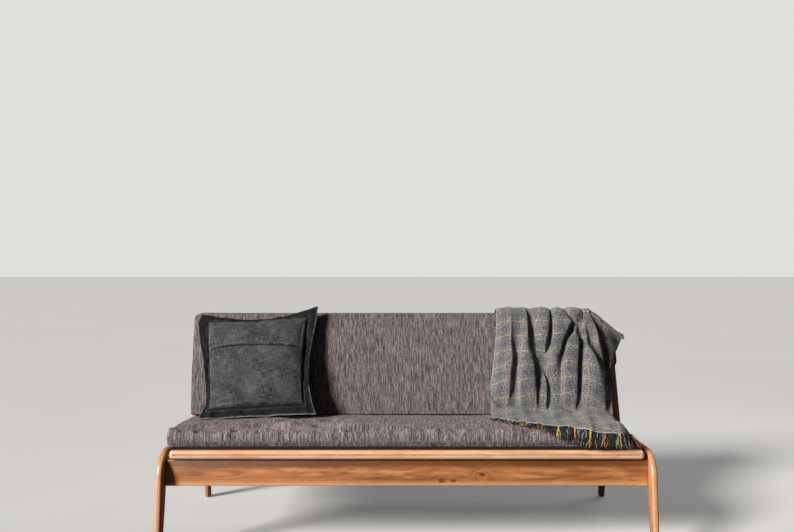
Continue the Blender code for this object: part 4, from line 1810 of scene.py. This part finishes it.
@dataclass
class Throw:
    """The fringed checked throw: over the back's right end, down its front and out on the seat.

    Its line runs from the hem behind the back to the tips of the fringe. Places on it are measured
    ahead of the crest, which is the top of the back cushion's front.
    """

    wool: bpy.types.Material
    yarn: bpy.types.Material
    check: CheckedWool
    lift: float = 0.009
    bend: float = 0.024
    crease_bend: float = 0.060
    arc_steps: int = 12
    behind_y: float = 0.330
    behind_z: float = 0.520
    rear_gap: float = 0.0012
    front_drop: float = 0.065
    fringe: float = 0.056
    left_short: float = 0.250
    thick: float = 0.0028
    columns: int = 184
    row_step: float = 0.0065
    smoothings: int = 60
    strands: int = 118
    strand_twists: int = 3
    strand_steps: int = 10
    strand_root: float = 0.003
    strand_radius: float = 0.0009
    pinch: float = 0.75
    lip_at: float = 1.25
    lip_width: float = 0.55
    flap_from: float = 0.790
    shoulder_from: float = 0.780
    shoulder_fall: float = 0.030
    seat_from: float = 0.45
    furrows: tuple[Furrow, ...] = FURROWS
    left_edge: Curve = (
        (0.0, 0.393), (0.12, 0.386), (0.26, 0.368), (0.33, 0.356), (0.42, 0.353), (0.47, 0.352),
        (0.55, 0.345),
    )
    right_edge: Curve = (
        (-0.60, 0.880), (-0.42, 0.905), (-0.355, 0.950), (-0.30, 0.966), (-0.20, 0.955), (-0.13, 0.952),
        (-0.085, 0.968), (-0.04, 0.960), (0.05, 0.942), (0.12, 0.918), (0.18, 0.895), (0.25, 0.880),
        (0.34, 0.872), (0.43, 0.858), (0.50, 0.852), (0.60, 0.848), (0.80, 0.838), (0.95, 0.830),
    )
    fold_height: Curve = (
        (-0.50, 0.014), (-0.15, 0.010), (-0.03, 0.008), (0.0, 0.010), (0.05, 0.028), (0.12, 0.050),
        (0.34, 0.050), (0.44, 0.022), (0.50, 0.008), (0.90, 0.006),
    )
    flap_down: Curve = (
        (-0.60, 0.32), (-0.30, 0.38), (-0.15, 0.42), (-0.085, 0.48), (0.0, 0.66), (0.10, 0.50), (0.25, 0.15),
        (0.35, 0.0),
    )
    flap_in: Curve = (
        (-0.30, 0.05), (-0.10, 0.10), (0.0, 0.25), (0.06, 0.80), (0.20, 1.20), (0.35, 1.10), (0.45, 0.40),
        (0.55, 0.0),
    )
    mounds: tuple[tuple[float, float, float, float, float], ...] = (
        (0.735, -0.180, 0.042, 0.065, 0.070),
        (0.600, -0.140, 0.036, 0.042, 0.070),
        (0.445, -0.100, 0.032, 0.045, 0.060),
        (0.780, -0.330, 0.008, 0.040, 0.050),
    )
    guide: Guide = field(init=False)
    crest: float = field(init=False)
    flat: tuple[float, float] = field(init=False)
    flat_u: np.ndarray = field(init=False)
    area: float = field(init=False)

    def __post_init__(self) -> None:
        """Works out the throw's line and its crest."""
        lift, bend = self.lift, self.bend
        rear = LINES.back_point(self.rear_gap - lift, LINES.back_top + lift)
        over = LINES.back_point(LINES.back_thick + lift, LINES.back_top + lift)
        out = LINES.back_thick + LINES.back_bulge + lift
        waist = LINES.back_point(out, LINES.back_top / 2)
        crease_y = LINES.back_point(out, 0)[0]
        middle_y = (LINES.seat_low_y + LINES.seat_high_y) / 2
        hang_y = LINES.seat_low_y - lift
        front_z = LINES.seat_z(LINES.seat_low_y)
        corners = [
            (self.behind_y, self.behind_z, 0.0),
            (self.behind_y, rear[1] - bend, bend),
            (*rear, bend),
            (*over, bend),
            (*waist, 5 * bend),
            (crease_y, LINES.seat_z(crease_y) + lift, self.crease_bend),
            (middle_y, LINES.seat_z(middle_y) + lift, 5 * bend),
            (hang_y, front_z + lift, bend),
            (hang_y, front_z - self.front_drop, 0.0),
        ]
        self.guide = Guide(rounded(corners, self.arc_steps))
        self.crest = max(zip(self.guide.points, self.guide.lengths), key=lambda spot: spot[0].y)[1]

    def hem(self, u: float) -> float:
        """How far along the line the sheet ends, at a share of its width."""
        whole = self.guide.length - self.fringe
        return whole - self.left_short * (1 - u) ** 3

    def valley(self, x: float, ahead: float) -> tuple[float, float]:
        """How deep the furrows are at a place, from 0 to 1, and the sideways pull of their lips.

        Args:
            x: The place along X.
            ahead: The distance ahead of the crest.

        Returns:
            The depth and the pull.
        """
        total, pull = 0.0, 0.0
        for i, furrow in enumerate(self.furrows):
            middle, share = furrow.at(ahead)
            middle += 0.004 * wave(ahead * 9.0, 9.1 * i, 0.5)
            width = furrow.width * (1 + 0.30 * wave(ahead * 7.0, 3.3 * i, 7.5))
            off = (x - middle) / width
            total += share * bell(off)
            lip = (abs(off) / self.lip_at) * bell((abs(off) - self.lip_at) / self.lip_width)
            pull -= math.copysign(share * self.pinch * width * lip, off)
        return min(1.0, total), pull

    def on_seat(self, x: float, y: float, goal: float) -> float:
        """How much higher the folds are on the seat: mounds, soft waves and a falling right shoulder.

        Args:
            x: The place along X.
            y: The place along Y.
            goal: The distance along the line.

        Returns:
            The added height, 0 before the seat.
        """
        past = goal - self.crest - self.seat_from
        if past <= 0:
            return 0.0
        fold = 0.0035 * wave(x * 16, goal * 30, 9.0)
        fold += min(1.0, past / 0.04) * 0.018 * max(-0.1, wave(x * 15 + goal * 6, goal * 15, 9.0))
        for mound_x, mound_y, rise, wide, long in self.mounds:
            fold += rise * bell((x - mound_x) / wide) * bell((y - mound_y) / long)
        shoulder = max(0.0, x - self.shoulder_from) / 0.05
        return fold - self.shoulder_fall * min(1.0, past / 0.10) * shoulder * shoulder

    def point(self, u: float, goal: float) -> Numbers:
        """The sheet's place at a share of its width and a distance along its line.

        Args:
            u: The share of the width, from 0 to 1.
            goal: The distance along the line.

        Returns:
            The place, as x, y and z.
        """
        place, along = self.guide.at(goal)
        ahead = goal - self.crest
        left, right = read(self.left_edge, ahead), read(self.right_edge, ahead)
        x = left + (right - left) * u
        depth, pull = self.valley(x, ahead)
        height = read(self.fold_height, ahead) * min(1.0, 0.25 + 0.75 * (x - left) / 0.055)
        fold = height * (1 - depth) + self.on_seat(x, place.x, goal)
        fold += 0.0030 * wave(x * 24, goal * 9, 2.0) + 0.0016 * wave(x * 58, goal * 24, 6.0)
        over = max(0.0, x - self.flap_from)
        over *= over / (over + 0.015)
        fold -= over * read(self.flap_in, ahead)
        down = over * read(self.flap_down, ahead)
        x += pull * min(1.0, height / 0.02) * min(1.0, 12 * u, 12 * (1 - u))
        return x, place.x + along.y * fold, place.y - along.x * fold - down

    def cloth(self) -> bpy.types.Object:
        """The woven sheet, one layer, with its flat coordinates, which start at the crest.

        Returns:
            The sheet, before it is thickened.
        """
        columns, lines = self.columns, math.ceil(self.guide.length / self.row_step)
        obj = primitive("throw_cloth", "grid", x_subdivisions=columns, y_subdivisions=lines, size=2)
        grid = np.zeros((lines + 1, columns + 1, 3))
        goals = np.zeros((lines + 1, columns + 1))
        spots = []
        for v in obj.data.vertices:
            row, column = round((v.co.y + 1) / 2 * lines), round((v.co.x + 1) / 2 * columns)
            u = column / columns
            goals[row, column] = self.hem(u) * row / lines
            grid[row, column] = self.point(u, goals[row, column])
            spots.append((row, column))
        move_points(obj, np.array([grid[spot] for spot in spots]))
        across = np.linalg.norm(np.diff(grid, axis=1), axis=2).mean(axis=0)
        along = np.linalg.norm(np.diff(grid, axis=0), axis=2)
        self.flat_u = np.concatenate([[0.0], np.cumsum(across)])
        flat_v = np.concatenate([np.zeros((1, columns + 1)), np.cumsum(along, axis=0)])
        self.flat = (float(self.flat_u[-1]), float(flat_v[-1].max()))
        self.area = float((across[None, :] * (along[:, 1:] + along[:, :-1]) / 2).sum())
        for column in range(columns + 1):
            flat_v[:, column] -= np.interp(self.crest, goals[:, column], flat_v[:, column])
        to_hem = flat_v[-1] - flat_v
        for _ in range(self.smoothings):
            flat_v[:, 1:-1] = (flat_v[:, :-2] + 2 * flat_v[:, 1:-1] + flat_v[:, 2:]) / 4
        layer = obj.data.uv_layers.new(name=WEAVE)
        for loop in obj.data.loops:
            row, column = spots[loop.vertex_index]
            layer.data[loop.index].uv = (self.flat_u[column], flat_v[row, column])
        write_numbers(obj, HEM, "POINT", [to_hem[spot] for spot in spots])
        return obj

    def shade(self, u: float, draw: random.Random) -> float:
        """A strand's shade: coloured where a line of the check ends in the hem, and dark elsewhere.

        Args:
            u: The share of the width.
            draw: The source of random draws.

        Returns:
            The shade, from 0 to 1.
        """
        across = float(np.interp(u * self.columns, range(self.columns + 1), self.flat_u))
        spacing = self.check.across_spacing
        number = round((across - self.check.first_across) / spacing)
        if abs(across - self.check.first_across - number * spacing) < 0.0032:
            return 1.0 if number % 2 else 0.88
        return draw.random() ** (1.6 if u < 0.85 else 0.9) * 0.78

    def strand(self, u: float, draw: random.Random) -> list[Vector]:
        """The line of one strand, from just inside the hem to its tip.

        Args:
            u: The share of the width.
            draw: The source of random draws.

        Returns:
            The points of its line.
        """
        start = self.hem(u) - self.strand_root
        x, y, z = self.point(u, start)
        spot, along = self.guide.at(start)
        height = (y - spot.x) * along.y - (z - spot.y) * along.x
        lean = draw.uniform(-0.014, 0.008) - 0.016 * (1 - u) + 0.045 * max(0.0, (u - 0.86) / 0.14) ** 2
        bow = draw.uniform(-0.007, 0.007)
        phase = draw.uniform(0, TAU)
        curl = draw.uniform(0.2, 1.0) * 0.005
        length = self.fringe * draw.uniform(0.88, 1.14)
        points = []
        for share in (step / self.strand_steps for step in range(self.strand_steps + 1)):
            spot, along = self.guide.at(min(self.guide.length + 0.006, start + length * share))
            rise = min(height, 0.0) + max(height, 0.0) * max(0.0, 1 - 1.2 * share)
            rise += curl * abs(math.sin(4.2 * share + phase)) * share
            side = lean * share + bow * math.sin(math.pi * share) + 0.0016 * math.sin(11 * share + phase)
            points.append(Vector((x + side, spot.x + along.y * rise, spot.y - along.x * rise)))
        return points

    def build(self, under: list[bpy.types.Object]) -> None:
        """Drapes the sheet over the cushions and ties its fringe.

        Args:
            under: The cushions that it lies on, which it stays clear of.
        """
        obj = self.cloth()
        keep_clear(obj, under, self.thick)
        finish_modifier(obj, "SOLIDIFY", thickness=self.thick, offset=0, use_even_offset=False)
        obj.data.shade_smooth()
        dress(obj, self.wool, Slot.THROW_CLOTH, "throw")
        draw = random.Random(4)
        lines, shades = [], []
        for i in range(self.strands):
            middle = (i + 0.5 + draw.uniform(-0.25, 0.25)) / self.strands
            for _ in range(self.strand_twists):
                u = min(0.999, max(0.001, middle + draw.uniform(-0.003, 0.003)))
                lines.append(self.strand(u, draw))
                shades.append(self.shade(u, draw))
        tassels = tubes("throw_fringe", lines, shades, self.strand_radius, 5)
        keep_clear(tassels, under, self.thick / 2)
        tassels.data.shade_smooth()
        dress(tassels, self.yarn, Slot.THROW_CLOTH)
        log.info("throw flat size %.3f x %.3f m, area %.3f", *self.flat, self.area)


def tubes(
    name: str, lines: list[list[Vector]], shades: list[float], radius: float, sides: int
) -> bpy.types.Object:
    """Thin tapered tubes along lines, joined in one mesh, each with its shade.

    Args:
        name: The mesh's name.
        lines: Each tube's points.
        shades: Each tube's shade.
        radius: The radius, a little more at the root.
        sides: How many sides they have.

    Returns:
        The joined piece.
    """
    verts, faces, values = [], [], []
    for line, shade in zip(lines, shades):
        base, last = len(verts), len(line) - 1
        for i, point in enumerate(line):
            ahead = line[min(i + 1, last)] - line[max(i - 1, 0)]
            side = ahead.cross(Vector((0.31, 0.87, 0.38))).normalized()
            other = ahead.cross(side).normalized()
            reach = radius * (1.25 - 0.45 * i / last)
            for turn in (TAU * k / sides for k in range(sides)):
                verts.append(tuple(point + (side * math.cos(turn) + other * math.sin(turn)) * reach))
                values.append(shade)
        rings = [[base + i * sides + k for k in range(sides)] for i in range(last + 1)]
        for low, high in zip(rings, rings[1:]):
            faces += [(low[k - 1], low[k], high[k], high[k - 1]) for k in range(sides)]
        faces += [tuple(reversed(rings[0])), tuple(rings[-1])]
    mesh = bpy.data.meshes.new(name)
    mesh.from_pydata(verts, [], faces)
    obj = bpy.data.objects.new(name, mesh)
    bpy.context.scene.collection.objects.link(obj)
    write_numbers(obj, SHADE, "POINT", values)
    with editing(obj, "VERT", lambda co: True):
        bpy.ops.mesh.normals_make_consistent(inside=False)
    return obj


def keep_clear(obj: bpy.types.Object, under: list[bpy.types.Object], gap: float, reach: float = 0.06) -> None:
    """Moves points of a piece out of what it lies on, to a gap above the surface.

    Args:
        obj: The piece.
        under: What it lies on.
        gap: The least distance between them.
        reach: How far from a surface its points are looked at.
    """
    for other in under:
        mesh = other.data
        tree = BVHTree.FromPolygons([v.co for v in mesh.vertices], [p.vertices for p in mesh.polygons])
        for v in obj.data.vertices:
            spot, normal, _, _ = tree.find_nearest(v.co, reach)
            if spot is None:
                continue
            off = v.co - spot
            if off.dot(normal) < -0.5 * off.length:
                v.co = spot + normal * gap
            elif off.length < gap:
                v.co = spot + (off.normalized() if off.length > TINY else normal) * gap
    obj.data.update()


@dataclass(frozen=True)
class Light:
    """A studio light that faces a point. Its size is a sun's angle or a panel's width."""

    name: str
    kind: str
    power: float
    size: float
    place: Numbers
    target: Numbers
    colour: Numbers = (1.0, 1.0, 1.0)
    unseen_by: str = ""

    def hang(self) -> None:
        """Adds the light to the scene; unseen_by names a kind of ray that it gives no light to."""
        data = bpy.data.lights.new(self.name, self.kind)
        data.energy = self.power
        data.color = self.colour
        setattr(data, "angle" if self.kind == "SUN" else "size", self.size)
        light = bpy.data.objects.new(self.name, data)
        light.location = self.place
        light.rotation_euler = (Vector(self.target) - Vector(self.place)).to_track_quat("-Z", "Y").to_euler()
        if self.unseen_by:
            setattr(light, f"visible_{self.unseen_by}", False)
        bpy.context.scene.collection.objects.link(light)


@dataclass
class Studio:
    """The floor, the soft lights and the camera."""

    floor_size: float = 160.0
    lens: float = 38.0
    sensor: float = 36.0
    eye: Numbers = (-0.036, -3.489, 1.0724)
    backdrop: Colour = (0.74, 0.75, 0.73, 1.0)
    ambient: Colour = (0.80, 0.88, 1.0, 1.0)
    ambient_strength: float = 0.055
    lights: tuple[Light, ...] = (
        Light("key", "SUN", 7.1, math.radians(16), (-3.0, -2.65, 2.30), (0.0, 0.0, 0.45), (1.0, 0.985, 0.96)),
        Light("fill", "AREA", 3.0, 2.4, (-0.9, -4.2, 1.3), (0.1, 0.0, 0.45)),
        Light("rim", "AREA", 14.0, 1.2, (1.9, 1.1, 2.3), (0.7, 0.0, 0.45), unseen_by="glossy"),
        Light("gleam", "AREA", 170.0, 1.5, (-4.0, -2.3, 0.22), (0.0, -0.43, 0.30), unseen_by="diffuse"),
    )

    def sky(self) -> bpy.types.World:
        """A pale backdrop that gives only a little of its light to the sofa.

        Returns:
            The world.
        """
        world = bpy.data.worlds.new("studio")
        world.use_nodes = True
        tree = world.node_tree
        soft = tree.nodes["Background"]
        soft.inputs["Color"].default_value = self.ambient
        soft.inputs["Strength"].default_value = self.ambient_strength
        seen = tree.nodes.new("ShaderNodeBackground")
        seen.inputs["Color"].default_value = self.backdrop
        path = tree.nodes.new("ShaderNodeLightPath")
        blend = tree.nodes.new("ShaderNodeMixShader")
        for i, node in enumerate((path, soft, seen)):
            tree.links.new(node.outputs[0], blend.inputs[i])
        tree.links.new(blend.outputs[0], tree.nodes["World Output"].inputs["Surface"])
        return world

    def camera(self) -> bpy.types.Object:
        """A level camera that faces the sofa's front.

        Returns:
            The camera.
        """
        data = bpy.data.cameras.new("camera")
        data.lens = self.lens
        data.sensor_width = self.sensor
        camera = bpy.data.objects.new("camera", data)
        camera.location = self.eye
        camera.rotation_euler = (math.pi / 2, 0, 0)
        bpy.context.scene.collection.objects.link(camera)
        return camera

    def build(self) -> None:
        """Sets up the studio."""
        scene = bpy.context.scene
        floor = primitive("studio_floor", "plane", size=self.floor_size)
        floor.data.materials.append(PaleFloor("pale_floor").make())
        scene.world = self.sky()
        for light in self.lights:
            light.hang()
        scene.camera = self.camera()
        scene.view_settings.view_transform = "Standard"


def woods() -> list[bpy.types.Material]:
    """The woods of the frame, the apron, the lip and the hidden slats.

    Returns:
        The four materials, in that order.
    """
    leg = {"early": (0.56, 0.275, 0.130, 1.0), "late": (0.33, 0.135, 0.052, 1.0)}
    apron = {"early": (0.38, 0.142, 0.045, 1.0), "late": (0.160, 0.052, 0.016, 1.0)}
    lip = {"early": (0.64, 0.385, 0.240, 1.0), "late": (0.40, 0.190, 0.090, 1.0)}
    slat = {"early": (0.60, 0.42, 0.25, 1.0), "late": (0.42, 0.26, 0.14, 1.0)}
    knots = Knot(0.132, -0.029, 0.009), Knot(0.174, -0.029, 0.007), Knot(0.282, -0.006, 0.008)
    lip |= {"stain": (0.44, 0.19, 0.08, 1.0), "flame": lip["early"]}
    slat |= {"stain": (0.36, 0.21, 0.11, 1.0), "flame": slat["early"]}
    kinds = (
        Wood("frame_wood", **leg, stain=(0.26, 0.098, 0.034, 1.0), stained=0.35, rough=0.34),
        # The apron is painted darker just under its top edge, as the lip's shadow.
        Wood("apron_wood", **apron, knots=knots, sap_edge=-0.044, painted_shadow_edge=0.030),
        Wood("lip_wood", **lip, stained=0.35, rough=0.30),
        Wood("slat_wood", **slat, stained=0.3, rough=0.55),
    )
    return [kind.make() for kind in kinds]


def long_cushions() -> tuple[LongCushion, LongCushion]:
    """The seat cushion, its underside painted near black as shade and its cloth painted lighter than the
    back's, and the back cushion.

    Returns:
        Both, not built yet.
    """
    seat = LongCushion(
        "seat_cushion_cover",
        "seat_cushion",
        # Painted light: the seat's cloth is the back's tweed made lighter, standing for the brighter light
        # that falls on the seat.
        Tweed("seat_tweed", light=(0.300, 0.244, 0.226, 1.0)).make(),
        Euler((-LINES.deck_slope, 0, 0)),
        rests=(0.0, 0.0, -1.0),
        gather_depth=0.022,
        crease_depth=0.018,
        front_lift=0.012,
        end_bulge=0.006,
        stretch=(0.0, -0.060),
        painted_underside_shade=True,
        seam_stand=0.0025,
        squareness=0.55,
        soft_corners=(0.0, 0.035),
        stuffing=Stuffing(reach=0.007),
    )
    back = LongCushion(
        "back_cushion_cover",
        "back_cushion",
        Tweed("back_tweed").make(),
        Euler((-LINES.back_lean, 0, 0)),
        rests=(0.0, 1.0, 0.0),
        sideways=-0.045,
        stretch=(0.009, -0.055),
        rear_rise=0.036,
        gather_depth=0.0030,
        soft_corners=(0.034, 0.085),
        stuffing=Stuffing(reach=0.005),
    )
    return seat, back


def main() -> None:
    """Sets up the studio, then builds the sofa piece by piece."""
    logging.basicConfig(level=logging.INFO, format="%(message)s")
    Studio().build()
    wood, apron_wood, lip_wood, pale_wood = woods()
    SideFrames(wood).build()
    Boards(wood, apron_wood, lip_wood, pale_wood).build()
    Fittings(BronzedMetal("bronzed_metal").make(), Felt("felt").make()).build()
    cushions = [cushion.build() for cushion in long_cushions()]
    LooseCushion(Linen("dark_linen").make()).build()
    check = CheckedWool("checked_wool")
    Throw(check.make(), FringeYarn("fringe_yarn").make(), check).build(cushions)


if __name__ == "__main__":
    main()
